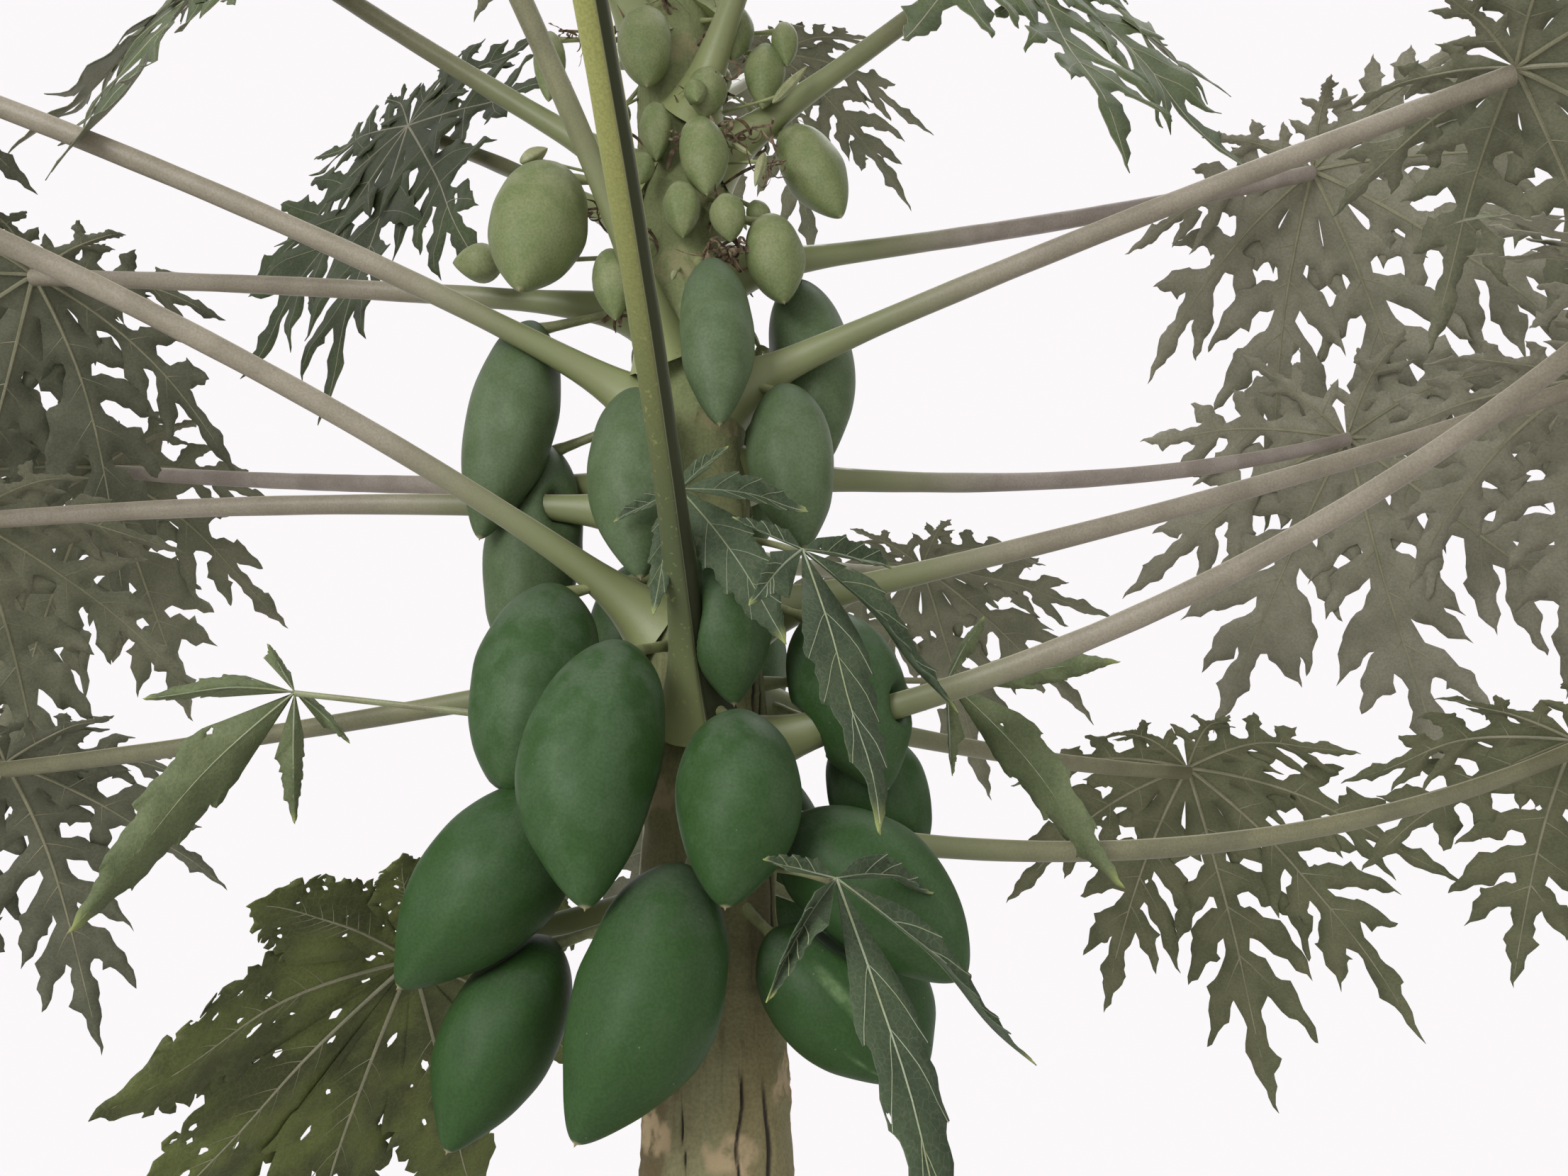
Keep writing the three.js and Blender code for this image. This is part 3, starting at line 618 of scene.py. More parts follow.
def add_stalk(bunch, leaf, seed, sides=STALK_SIDES, ridge=None):
    """One leaf stalk: its foot runs down the stem, and its top is flat between two edges."""
    distance = leaf["length"] * np.linspace(0, 1, STALK_STEPS + 1) ** 1.35
    points, directions = stalk_line(leaf, distance)
    across = outward(leaf["heading"] - 90)
    over = np.cross(across, directions)
    phase = turns(sides)
    aside, up = np.cos(phase), np.sin(phase)
    flat_top = np.where(up > TOP_FLAT, TOP_FLAT + 0.25 * (up - TOP_FLAT), up)
    flat_top = flat_top - TOP_GROOVE * np.exp(-((aside / 0.45) ** 2)) * (up > 0)
    radius = stalk_width(leaf, distance)[:, None]
    drop = foot_drop(leaf, distance)[:, None]
    uneven = 1 + 0.02 * ripple(points, 0.09, seed)[:, None]
    edge = np.exp(-(((np.abs(phase - math.pi / 2) - TOP_EDGE) / 0.24) ** 2))
    # The flank beyond the front stalk's ridge sinks in a little and takes painted shade.
    flank = 0 * phase
    if ridge is not None:
        lower = smooth(0.35, 0.05, up)
        flank = smooth(ridge + 0.02, ridge - 0.05, aside) * lower
        lines = np.exp(-(((aside - ridge) / 0.035) ** 2)) + np.exp(-(((aside - 0.97) / 0.035) ** 2))
        edge = np.maximum(edge * (1 - lower), lines * lower)
    width = aside * (radius + 0.45 * drop) * uneven * (1 - 0.10 * flank)
    height = flat_top * radius * 1.04 * uneven * (1 - 0.25 * flank)
    height = height - drop * np.clip(-up, 0, 1) ** 0.8 + 0.3 * drop * np.clip(up, 0, 1)
    rings = points[:, None, :] + across * width[..., None] + over[:, None, :] * height[..., None]
    along = np.broadcast_to(distance[:, None], height.shape)
    body, faces = skin(rings[:, ::-1])
    bunch.add(
        body,
        faces,
        edge=np.broadcast_to(edge[::-1], height.shape).ravel(),
        flank=np.broadcast_to(flank[::-1], height.shape).ravel(),
        foot=np.exp(-along / 0.10).ravel(),
        along=along.ravel(),
    )


def stalk_material(name, colour, shade, low=None, reach=NEAR_REACH):
    """Smooth juicy skin with flecks, paler edges, a yellow-green foot and a second colour near it. On the
    front stalk that second colour is painted shade, and so is its dark flank.
    """
    made, tree, shader = new_material(name, 0.46)
    skin_colour, grain = plant_skin(tree, colour, shade, 16.0, 420.0)
    if low:
        near = ranged(tree, attribute(tree, "along"), *reach, 1.0, 0.0)
        skin_colour = mixed(tree, near, skin_colour, low)
    foot = calculated(tree, "MULTIPLY", attribute(tree, "foot"), 0.8)
    skin_colour = mixed(tree, foot, skin_colour, STALK_FOOT_GREEN)
    flecks = ranged(tree, noise(tree, 150.0, 2.0), 0.60, 0.72, 0.0, 0.35)
    skin_colour = mixed(tree, flecks, skin_colour, shade)
    # Painted shade: the front stalk's flank turns dark.
    skin_colour = mixed(tree, attribute(tree, "flank"), skin_colour, FRONT_FLANK_SHADE)
    edge = ranged(tree, attribute(tree, "edge"), 0.55, 1.0, 0.0, 0.65)
    skin_colour = mixed(tree, edge, skin_colour, STALK_EDGE)
    tree.links.new(skin_colour, shader.inputs["Base Color"])
    shader.inputs["Coat Weight"].default_value = 0.08
    shader.inputs["Coat Roughness"].default_value = 0.35
    relief(tree, shader, grain, 0.25, 0.0008)
    return made


leaves = []
for index, row in enumerate(SHOWN_LEAVES + BACK_LEAVES):
    leaves.append(leaf_of(row, "grown", FRONT_STALK_RADIUS if index == FRONT_LEAF else STALK_RADIUS))
leaves += spiral_leaves(UPPER_LEAVES, UPPER_FIRST, UPPER_STEP, "grown", "olive")
stalk_bunches = {tone: Bunch() for tone in STALK_COLOURS}
stalk_nodes = {tone: [] for tone in STALK_COLOURS}
front_stalk = Bunch()
for index, leaf in enumerate(leaves):
    leaf["node"] = f"leaf_{index + 1:02d}"
    if index == FRONT_LEAF:
        add_stalk(front_stalk, leaf, STALK_SEED + index, FRONT_SIDES, FRONT_RIDGE)
        continue
    # Tan stalks carry painted light, and grey ones painted shade.
    tone = "tan" if index + 1 in LIT_TAN_STALKS else "grey" if index + 1 in SHADED_GREY_STALKS else "olive"
    add_stalk(stalk_bunches[tone], leaf, STALK_SEED + index)
    stalk_nodes[tone].append(leaf["node"])
for tone, bunch in stalk_bunches.items():
    stalk_skin = stalk_material(f"{tone}_stalk_skin", *STALK_COLOURS[tone], STALK_NEAR_GREEN)
    bunch.piece(f"{tone}_leaf_stalks", stalk_skin, "leaf", stalk_nodes[tone])
# The front stalk: a lit face colour, with painted shade near the stem.
front_skin = stalk_material("front_stalk_skin", FRONT_LIT, FRONT_LIT, FRONT_LOW_SHADE, FRONT_SHADE_REACH)
front_shader = front_skin.node_tree.nodes["Principled BSDF"]
front_shader.inputs["Specular IOR Level"].default_value = 0.12
front_shader.inputs["Coat Weight"].default_value = 0
front_stalk.piece("front_leaf_stalk", front_skin, "leaf", [leaves[FRONT_LEAF]["node"]])


# Leaf blades: thin and matt. Each has nine main lobes round the end of the stalk, and every lobe
# is cut again into pointed side lobes with a tooth or two. The pale ribs stand out on the lower
# face, which the camera sees. The one old leaf has plain lobes, yellow-green and bitten through.
BLADES = {
    # lobes as angle and share of the reach; heel angle; depth of the bays; half width of a lobe's
    # middle; side lobes of a lobe with the full reach, or the teeth on each side of a plain lobe.
    # overlap widens the lobes, rib and vein are radii, and faces says where the ribs stand out:
    # -1 is below and 1 above.
    "grown": {
        "lobes": [(0, 1), (38, 0.95), (76, 0.82), (114, 0.66), (150, 0.46)],
        "heel": 172, "bay": 0.14, "core": 0.045, "fingers": 4.0, "teeth": 0,
    },
    "old": {
        "lobes": [(0, 1), (38, 0.95), (76, 0.82), (114, 0.66), (150, 0.46)],
        "heel": 172, "bay": 0.46, "core": 0.215, "fingers": 0, "teeth": 6, "overlap": 3,
    },
    "tuft": {
        "lobes": [(0, 1), (42, 0.9), (88, 0.7), (134, 0.46)],
        "heel": 168, "bay": 0.24, "core": 0.060, "fingers": 3.0, "teeth": 0,
    },
    "shoot": {
        "lobes": [(0, 1), (50, 0.8), (102, 0.5)],
        "heel": 140, "bay": 0.30, "core": 0.175, "fingers": 0, "teeth": 3,
        "rib": 0.0023, "vein": 0.0007, "faces": (-1, 1),
    },
}
# The corners of a side lobe from its lower edge round its tip: share of its length, share of its
# width, and 1 for a sharp corner.
SIDE_LOBE = [
    (0.30, 1.00, 0),
    (0.48, 1.10, 0),
    (0.60, 1.50, 1),
    (0.68, 1.02, 0),
    (0.86, 0.52, 0),
    (1.06, -0.12, 1),
    (0.88, -0.55, 0),
    (0.70, -0.86, 0),
    (0.56, -1.30, 1),
    (0.50, -0.95, 0),
    (0.42, -0.95, 0),
]
# Where the side lobes of a lobe start, and the part of its length that they share.
SIDE_LOBES_START = 0.24
SIDE_LOBES_SPAN = 0.51
TEETH_END = 0.86
HEEL_SHARE = 0.1
USUAL_REACH = 0.43
LOBE_FOLD = 0.18
EDGE_CURL = 0.9
# Height and closeness of the fine waves along a lobe's edges and of the broad ones along its rib.
EDGE_WAVE = (0.10, 38)
RIB_WAVE = (0.020, 11)
RIB_END = 0.97
RIB_RADIUS = 0.0034
RIB_TIP_RADIUS = 0.0006
VEIN_RADIUS = 0.0013
VEIN_TIP_RADIUS = 0.0004
ROUND_RIB = 0.002
BLADE_SKIN = 0.0011
OUTLINE_STEP = 0.021
# The small waves of a lobe's outline: their height, and their closeness across and along the lobe.
MARGIN_WAVE = 0.006
MARGIN_CLOSENESS = (90, 84)
BLADE_SEED = 500
BITES = 6
OLD_BITES = 170
BITE_CORNERS = 9
GREENS = {
    # name: lower face, its shade, upper face, its shade
    # Painted shade: the dark green goes to the shaded leaves at the back and on the left.
    "dark": (
        (0.140, 0.145, 0.098, 1), (0.100, 0.108, 0.070, 1),
        (0.060, 0.085, 0.035, 1), (0.045, 0.062, 0.028, 1),
    ),
    "moss": (
        (0.160, 0.168, 0.092, 1), (0.115, 0.124, 0.065, 1),
        (0.060, 0.085, 0.035, 1), (0.045, 0.062, 0.028, 1),
    ),
    "olive": (
        (0.220, 0.222, 0.150, 1), (0.168, 0.174, 0.114, 1),
        (0.085, 0.115, 0.045, 1), (0.060, 0.085, 0.035, 1),
    ),
    # Painted light: the pale green goes to the leaves on the right, lit paler against the bright sky.
    "pale": (
        (0.290, 0.280, 0.210, 1), (0.228, 0.222, 0.160, 1),
        (0.120, 0.145, 0.060, 1), (0.090, 0.115, 0.050, 1),
    ),
    "yellowing": (
        (0.124, 0.150, 0.044, 1), (0.066, 0.078, 0.027, 1),
        (0.150, 0.160, 0.050, 1), (0.090, 0.100, 0.034, 1),
    ),
    "tuft": (
        (0.190, 0.210, 0.110, 1), (0.150, 0.170, 0.085, 1),
        (0.110, 0.150, 0.055, 1), (0.085, 0.120, 0.045, 1),
    ),
    "shoot": (
        (0.100, 0.134, 0.082, 1), (0.068, 0.098, 0.056, 1),
        (0.062, 0.092, 0.046, 1), (0.044, 0.068, 0.034, 1),
    ),
    "light_shoot": (
        (0.155, 0.190, 0.092, 1), (0.120, 0.150, 0.070, 1),
        (0.155, 0.190, 0.092, 1), (0.120, 0.150, 0.070, 1),
    ),
}
RIB_COLOUR = (0.300, 0.290, 0.190, 1)
RIB_SHADE = (0.225, 0.225, 0.140, 1)


def blade_frame(leaf):
    """Where the stalk meets a leaf's blade, and the blade's forward, left and upward directions."""
    heading = leaf["heading"] + leaf["turn"]
    roll = math.radians(leaf["roll"])
    forward = outward(heading) * math.cos(math.radians(leaf["tilt"]))
    forward[2] -= math.sin(math.radians(leaf["tilt"]))
    level = outward(heading + 90)
    left = level * math.cos(roll) + np.cross(forward, level) * math.sin(roll)
    normal = np.cross(forward, left)
    end = stalk_line(leaf, leaf["length"])[0]
    return end + normal * (leaf["tip_radius"] + BLADE_LIFT), forward, left, normal


def soft_line(points, step):
    """A smooth line through points. A point with a third value of 1 stays a sharp corner."""
    line = []
    last = len(points) - 1
    for i in range(last):
        start, end = np.array(points[i][:2]), np.array(points[i + 1][:2])
        before = start if points[i][2] or i == 0 else np.array(points[i - 1][:2])
        after = end if points[i + 1][2] or i + 1 == last else np.array(points[i + 2][:2])
        leave, arrive = (end - before) / 2, (after - start) / 2
        pieces = max(1, round(np.linalg.norm(end - start) / step))
        share = (np.arange(pieces) / pieces)[:, None]
        line.append(
            (2 * share**3 - 3 * share**2 + 1) * start
            + (share**3 - 2 * share**2 + share) * leave
            + (3 * share**2 - 2 * share**3) * end
            + (share**3 - share**2) * arrive
        )
    line.append(np.array([points[-1][:2]]))
    return np.concatenate(line)


def side_lobe(draw, start, angle, length, width):
    """The corners of a side lobe from its lower edge round its tip, and the line of its vein."""
    toothed = [draw.random() < 0.75, draw.random() < 0.45]
    curve = draw.uniform(-0.02, 0.24)
    cos, sin = math.cos(angle), math.sin(angle)

    def placed(share, aside):
        """A point of the side lobe in its main lobe's coordinates."""
        along = share * length
        across = aside * width - curve * along * share
        return start + along * cos - across * sin, along * sin + across * cos

    outline = []
    for share, aside, sharp in SIDE_LOBE:
        if sharp and share < 1 and not toothed[aside < 0]:
            aside *= 0.72
            sharp = 0
        jitter = draw.uniform(-0.03, 0.03)
        outline.append((*placed(share + (jitter if share < 1 else 0), aside), sharp))
    vein = [placed(share, 0) for share in np.linspace(0, 0.92, 6)]
    return outline, vein


def half_lobe(draw, bay, shape, share):
    """One side of a main lobe, from its bay to just before its tip, and the veins of its side lobes."""
    outline = [(*bay, 0)]
    veins = []
    core = shape["core"]
    count = max(2, round(shape["fingers"] * share))
    pitch = SIDE_LOBES_SPAN / count
    for index in range(count):
        place = index / max(count - 1, 1)
        start = SIDE_LOBES_START + pitch * (index + draw.uniform(-0.12, 0.12))
        angle = math.radians(65 - 15 * place + draw.uniform(-6, 6))
        length = (0.19 + 0.10 * math.sin(math.pi * (0.15 + 0.70 * place))) * draw.uniform(0.84, 1.16)
        width = min(0.9 * core, 0.30 * pitch) * draw.uniform(0.88, 1.12)
        corners, vein = side_lobe(draw, start, angle, length, width)
        outline += corners
        veins.append(vein)
        if index + 1 < count:
            outline.append((start + pitch * 0.66, core * draw.uniform(0.9, 1.1), 0))
            outline.append((start + pitch * 0.90, core * draw.uniform(0.85, 1.0), 0))
    last_tooth = (0.855 + draw.uniform(-0.015, 0.015), core * draw.uniform(0.95, 1.45), 1)
    outline += [(0.76, core * 0.72, 0), (0.82, core * 0.92, 0), last_tooth]
    outline += [(0.89, core * 0.74, 0), (0.95, core * 0.32, 0)]
    return outline, veins


def plain_half_lobe(draw, bay, shape):
    """One side of a plain lobe: an even curve to its tip with a few sharp teeth, and their veins."""
    count = shape["teeth"]
    start = max(bay[0], 0.30) + 0.04
    outline = [(*bay, 0)]
    veins = []

    def edge(along):
        """The lobe's half width."""
        return shape["core"] * max(0, 1 - (max(along - 0.44, 0) / 0.58) ** 1.7)

    pitch = (TEETH_END - start) / count
    for index in range(count):
        along = start + pitch * (index + 0.75 + draw.uniform(-0.12, 0.12))
        reach = edge(along) + draw.uniform(0.012, 0.034)
        outline.append((along - 0.55 * pitch, edge(along - 0.10), 0))
        outline.append((along, reach, 1))
        outline.append((along + 0.012, edge(along) * 0.90, 0))
        root = along - 0.13 - 0.35 * reach
        veins.append([(root + (along - root) * t**1.15, reach * 0.93 * t) for t in np.linspace(0, 1, 7)])
    outline.append((0.94, edge(0.94) * 0.9, 0))
    return outline, veins


def lobe_outline(draw, bays, shape, share):
    """A main lobe as a closed outline round its rib, with the lines of its veins."""
    sides, veins = [], []
    for bay, side in zip(bays, (1, -1)):
        if shape["teeth"]:
            half, lines = plain_half_lobe(draw, bay, shape)
        else:
            half, lines = half_lobe(draw, bay, shape, share)
        sides.append([(x, y * side, sharp) for x, y, sharp in half])
        veins += [[(x, y * side) for x, y in line] for line in lines]
    left, right = sides
    line = soft_line(right + [(1.0, 0.0, 1)] + left[::-1], OUTLINE_STEP)
    phases = [draw.uniform(0, 6), draw.uniform(0, 6)]
    waves = np.sin(line[:, ::-1] * MARGIN_CLOSENESS + phases)
    line = line + MARGIN_WAVE * waves * smooth(0.28, 0.42, line[:, 0])[:, None]
    return [tuple(place) for place in line], veins


def bite(draw, middle, radius):
    """The ragged ring of a bitten hole."""
    long = draw.uniform(1.0, 2.2)
    turn = draw.uniform(-0.6, 0.6)
    ring = []
    for corner in range(BITE_CORNERS):
        angle = corner * 2 * math.pi / BITE_CORNERS
        reach = radius * draw.uniform(0.55, 1.25)
        x, y = long * reach * math.cos(angle), reach * math.sin(angle)
        along = middle[0] + x * math.cos(turn) - y * math.sin(turn)
        aside = middle[1] + x * math.sin(turn) + y * math.cos(turn)
        ring.append((along, aside))
    return ring


def inside(points, ring):
    """Which flat points lie inside a ring."""
    x, y = points.T
    found = np.zeros(len(points), bool)
    for (x1, y1), (x2, y2) in zip(ring, ring[1:] + ring[:1]):
        crosses = (y1 > y) != (y2 > y)
        found ^= crosses & (x < (x2 - x1) * (y - y1) / (y2 - y1 + 1e-12) + x1)
    return found


def rib_line(count):
    """Flat points along a lobe's rib, from the stalk to near the lobe's tip."""
    return np.stack([np.linspace(0, RIB_END, count), np.zeros(count)], axis=-1)


def lobe_mesh(outline, veins, holes):
    """Triangles that fill a lobe's outline and follow its rib and veins. Holes stay open."""
    places = [(0.0, 0.0), *outline]
    loop = list(range(len(places)))
    edges = []
    for line in [rib_line(30)[1:]] + [np.array(vein)[1:] for vein in veins]:
        first = len(places)
        places += [tuple(place) for place in line]
        edges += [(i, i + 1) for i in range(first, len(places) - 1)]
    for ring in holes:
        first = len(places)
        places += ring
        edges += [(first + i, first + (i + 1) % len(ring)) for i in range(len(ring))]
    found = geometry.delaunay_2d_cdt([Vector(place) for place in places], edges, [loop], 1, 1e-5)
    points = np.array([place[:] for place in found[0]])
    faces = [list(face) for face in found[2]]
    if holes:
        centres = np.array([points[face].mean(0) for face in faces])
        open_here = np.zeros(len(faces), bool)
        for ring in holes:
            open_here |= inside(centres, ring)
        faces = [face for face, gone in zip(faces, open_here) if not gone]
    return points, faces


def lobe_places(leaf, spread, lobe, places):
    """Where a lobe's flat points lie in space: folded along the rib, sagging, wavy and twisted."""
    joint, forward, left, normal = leaf["frame"]
    along, aside = places[:, 0], places[:, 1]
    far = smooth(0.22, 1.0, along)
    aside = aside * lobe["slim"] + lobe["bend"] * np.maximum(along - 0.25, 0) ** 2
    distance = np.hypot(along, aside) * lobe["reach"]
    angle = math.radians(lobe["angle"]) + np.arctan2(aside, along)
    level = np.cos(angle)[:, None] * forward + np.sin(angle)[:, None] * left
    points = joint + level * distance[:, None]
    edge = np.abs(places[:, 1])
    lift = lobe["fold"] * edge - EDGE_CURL * np.maximum(edge - 0.07, 0) ** 2
    lift += EDGE_WAVE[0] * far * edge * np.sin(along * EDGE_WAVE[1] + lobe["phase"])
    lift += lobe["twist"] * far * places[:, 1]
    lift += RIB_WAVE[0] * far * np.sin(along * RIB_WAVE[1] + lobe["phase"] * 2)
    points += normal * (lift * lobe["reach"])[:, None]
    share = np.interp(np.abs(np.degrees(angle)), *spread)
    points[:, 2] -= leaf["sag"] * distance**2 / (leaf["reach"] * share)
    points[:, 2] -= lobe["droop"] * lobe["reach"] * far**1.5
    return points


def unit(vectors):
    """Vectors of length 1 in the same directions."""
    return vectors / np.linalg.norm(vectors, axis=-1, keepdims=True)


def line_frame(points, beside):
    """The directions across and over a line of points, square to it. Across is square to beside too."""
    direction = unit(np.gradient(points, axis=0))
    across = unit(np.cross(direction, beside))
    return across, np.cross(across, direction)


def rings_round(middle, across, over, reach, phase):
    """Rings of points round a middle line: their reach at each angle from across towards over."""
    ring = np.cos(phase)[:, None] * across[..., None, :] + np.sin(phase)[:, None] * over[..., None, :]
    return middle[..., None, :] + ring * reach[..., None]


def add_rib(bunch, points, thick, thin, out):
    """A rib as a tapering round strip that stands out of the blade on one side."""
    across, over = line_frame(points, out)
    radius = (thick + (thin - thick) * np.linspace(0, 1, len(points)) ** 0.8)[:, None]
    phase = turns(6 if thick > ROUND_RIB else 4)
    bunch.add(*skin(rings_round(points + over * 0.45 * radius, across, over, radius, phase)))


def lobe_bays(leaf, shape, around, index, reach):
    """The bays on a lobe's left and right, as flat places in shares of the lobe's length."""
    angle, share = around[index]
    bays = []
    for step in (1, -1):
        beyond = index + step
        if 0 <= beyond < len(around):
            half = abs(around[beyond][0] - angle) / 2
            bay = shape["bay"] * min(1, share + 0.2, around[beyond][1] + 0.2)
        else:
            half, bay = shape["heel"] - abs(angle), HEEL_SHARE
        bay = bay * leaf["reach"] / reach
        half = math.radians(half + shape.get("overlap", 0))
        bays.append((bay * math.cos(half), bay * math.sin(half)))
    return bays


def bitten_holes(draw, core, count):
    """The rings of holes spread over a lobe. None is bitten through its rib."""
    holes = []
    wide = 0.8 * core + 0.03
    for _ in range(count):
        middle = (draw.uniform(0.15, 0.75), draw.uniform(-wide, wide))
        if abs(middle[1]) > 0.022:
            holes.append(bite(draw, middle, draw.uniform(0.004, 0.010) / draw.uniform(0.5, 1)))
    return holes


def add_blade(blades, ribs, leaf, seed, bites):
    """One leaf blade with its ribs. Bites is the number of holes in the whole blade."""
    draw = random.Random(seed)
    shape = BLADES[leaf["blade"]]
    lobes = shape["lobes"]
    leaf["frame"] = blade_frame(leaf)
    spread = list(zip(*lobes, (180, lobes[-1][1])))
    around = [(-angle, share) for angle, share in lobes[:0:-1]] + lobes
    size = leaf["reach"] / USUAL_REACH
    for index, (angle, share) in enumerate(around):
        shorter, slim, fold = leaf.get("folded", {}).get(angle, (1, 1, LOBE_FOLD))
        reach = share * leaf["reach"] * shorter
        bays = lobe_bays(leaf, shape, around, index, reach)
        lobe = {
            "angle": angle,
            "reach": reach,
            "slim": slim,
            "fold": fold,
            "bend": draw.uniform(-0.10, 0.10),
            "twist": draw.uniform(-0.30, 0.30),
            "droop": draw.uniform(-0.04, 0.16),
            "phase": draw.uniform(0, 6),
        }
        outline, veins = lobe_outline(draw, bays, shape, share)
        holes = bitten_holes(draw, shape["core"], round(bites / len(around)))
        places, faces = lobe_mesh(outline, veins, holes)
        blades.add(lobe_places(leaf, spread, lobe, places), faces, tip=smooth(0.90, 1.0, places[:, 0]))
        thick = shape.get("rib", RIB_RADIUS) * size * math.sqrt(share)
        for face in shape.get("faces", (-1,)):
            out = leaf["frame"][3] * face
            add_rib(ribs, lobe_places(leaf, spread, lobe, rib_line(16)), thick, RIB_TIP_RADIUS, out)
            for vein in veins:
                line = lobe_places(leaf, spread, lobe, np.array(vein))
                add_rib(ribs, line, shape.get("vein", VEIN_RADIUS) * size, VEIN_TIP_RADIUS, out)


def blade_material(name, colour, shade, tip=None):
    """Matt leaf skin with a net of fine veins, and paler tips if they have a colour."""
    made, tree, shader = new_material(name, 0.62)
    skin_colour, grain = plant_skin(tree, colour, shade, 14.0, 300.0)
    place = new_node(tree, "ShaderNodeTexCoord")
    cells = new_node(tree, "ShaderNodeTexVoronoi", {"Scale": 130.0}, feature="DISTANCE_TO_EDGE")
    tree.links.new(place.outputs["Object"], cells.inputs["Vector"])
    net = ranged(tree, cells.outputs["Distance"], 0.0, 0.09, 1.0, 0.0)
    skin_colour = mixed(tree, calculated(tree, "MULTIPLY", net, 0.12), skin_colour, RIB_COLOUR)
    if tip:
        skin_colour = mixed(tree, attribute(tree, "tip"), skin_colour, tip)
    tree.links.new(skin_colour, shader.inputs["Base Color"])
    shader.inputs["Specular IOR Level"].default_value = 0.25
    relief(tree, shader, calculated(tree, "ADD", net, grain), 0.35, 0.0006)
    return made


def finish_blades(bunch, name, green, slot, nodes, tip=None):
    """Gives a bunch of blades its thickness, with one material above and another below."""
    below, below_shade, above, above_shade = GREENS[green]
    upper_skin = blade_material(f"{green}_leaf_above", above, above_shade, tip)
    lower_skin = blade_material(f"{green}_leaf_below", below, below_shade, tip)
    made = bunch.piece(name, upper_skin, slot, nodes, 180)
    made.data.materials.append(lower_skin)
    bpy.ops.object.mode_set(mode="EDIT")
    bpy.ops.mesh.select_all(action="SELECT")
    bpy.ops.mesh.remove_doubles(threshold=MERGE_DISTANCE)
    bpy.ops.object.mode_set(mode="OBJECT")
    thickness = made.modifiers.new("thickness", "SOLIDIFY")
    thickness.thickness = BLADE_SKIN
    thickness.offset = -1
    thickness.material_offset = 1
    thickness.material_offset_rim = 1
    bpy.ops.object.modifier_apply(modifier=thickness.name)


def plain_skin(name, colour, shade, scales, bump, roughness=0.5):
    """A material of living skin alone, from the scales of its blotches and of its grain."""
    made, tree, shader = new_material(name, roughness)
    skin_colour, grain = plant_skin(tree, colour, shade, *scales)
    tree.links.new(skin_colour, shader.inputs["Base Color"])
    relief(tree, shader, grain, *bump)
    return made


blade_bunches = {green: Bunch() for green in ("dark", "moss", "olive", "pale", "yellowing")}
blade_nodes = {green: [] for green in blade_bunches}
leaf_ribs = Bunch()
for index, leaf in enumerate(leaves):
    bites = BITES
    if leaf["green"] == "yellowing":
        leaf["blade"], bites = "old", OLD_BITES
    add_blade(blade_bunches[leaf["green"]], leaf_ribs, leaf, BLADE_SEED + index, bites)
    blade_nodes[leaf["green"]].append(leaf["node"])
for green, bunch in blade_bunches.items():
    slot = "yellowing_leaf" if green == "yellowing" else "leaf"
    finish_blades(bunch, f"{green}_leaf_blades", green, slot, blade_nodes[green])
rib_skin = plain_skin("rib_skin", RIB_COLOUR, RIB_SHADE, (20.0, 500.0), (0.2, 0.0005))
leaf_ribs.piece("leaf_ribs", rib_skin, "leaf", [leaf["node"] for leaf in leaves])


# The growing tip: the soft end of the stem, with six young leaves that stand up steeply round it
# on the same spiral, lighter in colour than the grown ones. The youngest are still folded up
# like closed umbrellas, fused to the tip by their short stalks.
TUFT_LEAVES = 6
TUFT_FIRST = {"height": 3.075, "heading": 267.5, "rise": 60, "length": 0.450, "reach": 0.250}
TUFT_STEP = {"height": 0.016, "rise": 3.5, "length": -0.038, "reach": -0.022}
TUFT_STALK_SEED = 400
TUFT_BLADE_SEED = 600
# The folded leaves from the outermost to the innermost: height of the foot, reach from the tip's
# middle, lean outwards, length and width.
FOLDED_LEAVES = 7
FOLDED_HEADING = 52.5
FOLDED_FIRST = (3.135, 0.030, 0.55, 0.120, 0.024)
FOLDED_LAST = (3.185, 0.0, 0.10, 0.045, 0.016)
FOLDED_GREEN = (0.230, 0.260, 0.120, 1)
SPINDLE_SIDES = 28
SPINDLE_RINGS = 17


def add_spindle(bunch, start, end, width, ridges, depth, seed, **marks):
    """A slender body from start to end, fullest below its middle, with ridges along it."""
    line = end - start
    along = unit(line)
    aside = unit(np.cross(along, (0.31, 0.87, 0.38)))
    front = np.cross(aside, along)
    share = (1 - np.cos(np.pi * np.linspace(0, 1, SPINDLE_RINGS))) / 2
    phase = turns(SPINDLE_SIDES)
    radius = width / 2 * np.maximum(np.sin(np.pi * share**0.82), 0.01) ** 0.75
    swell = 1 + depth * np.cos(ridges * phase[None, :] + 1.5 * share[:, None] + seed)
    middle = start + share[:, None] * line
    points = rings_round(middle, front, aside, radius[:, None] * swell, phase)
    body, faces = skin(points[:, ::-1])
    bunch.add(body, faces, along=np.repeat(share, SPINDLE_SIDES), **marks)


tuft = spiral_leaves(TUFT_LEAVES, TUFT_FIRST, TUFT_STEP, "tuft", "tuft")
tuft_stalks, tuft_blades, tuft_ribs = Bunch(), Bunch(), Bunch()
for index, leaf in enumerate(tuft):
    add_stalk(tuft_stalks, leaf, TUFT_STALK_SEED + index)
    add_blade(tuft_blades, tuft_ribs, leaf, TUFT_BLADE_SEED + index, 0)
tuft_stalk_skin = stalk_material("tuft_stalk_skin", STALK_FOOT_GREEN, STALK_COLOURS["olive"][0])
tuft_stalks.piece("tuft_stalks", tuft_stalk_skin, "leaf", ["tip_tuft"])
finish_blades(tuft_blades, "tuft_blades", "tuft", "leaf", ["tip_tuft"])
tuft_ribs.piece("tuft_ribs", rib_skin, "leaf", ["tip_tuft"])
folded_leaves = Bunch()
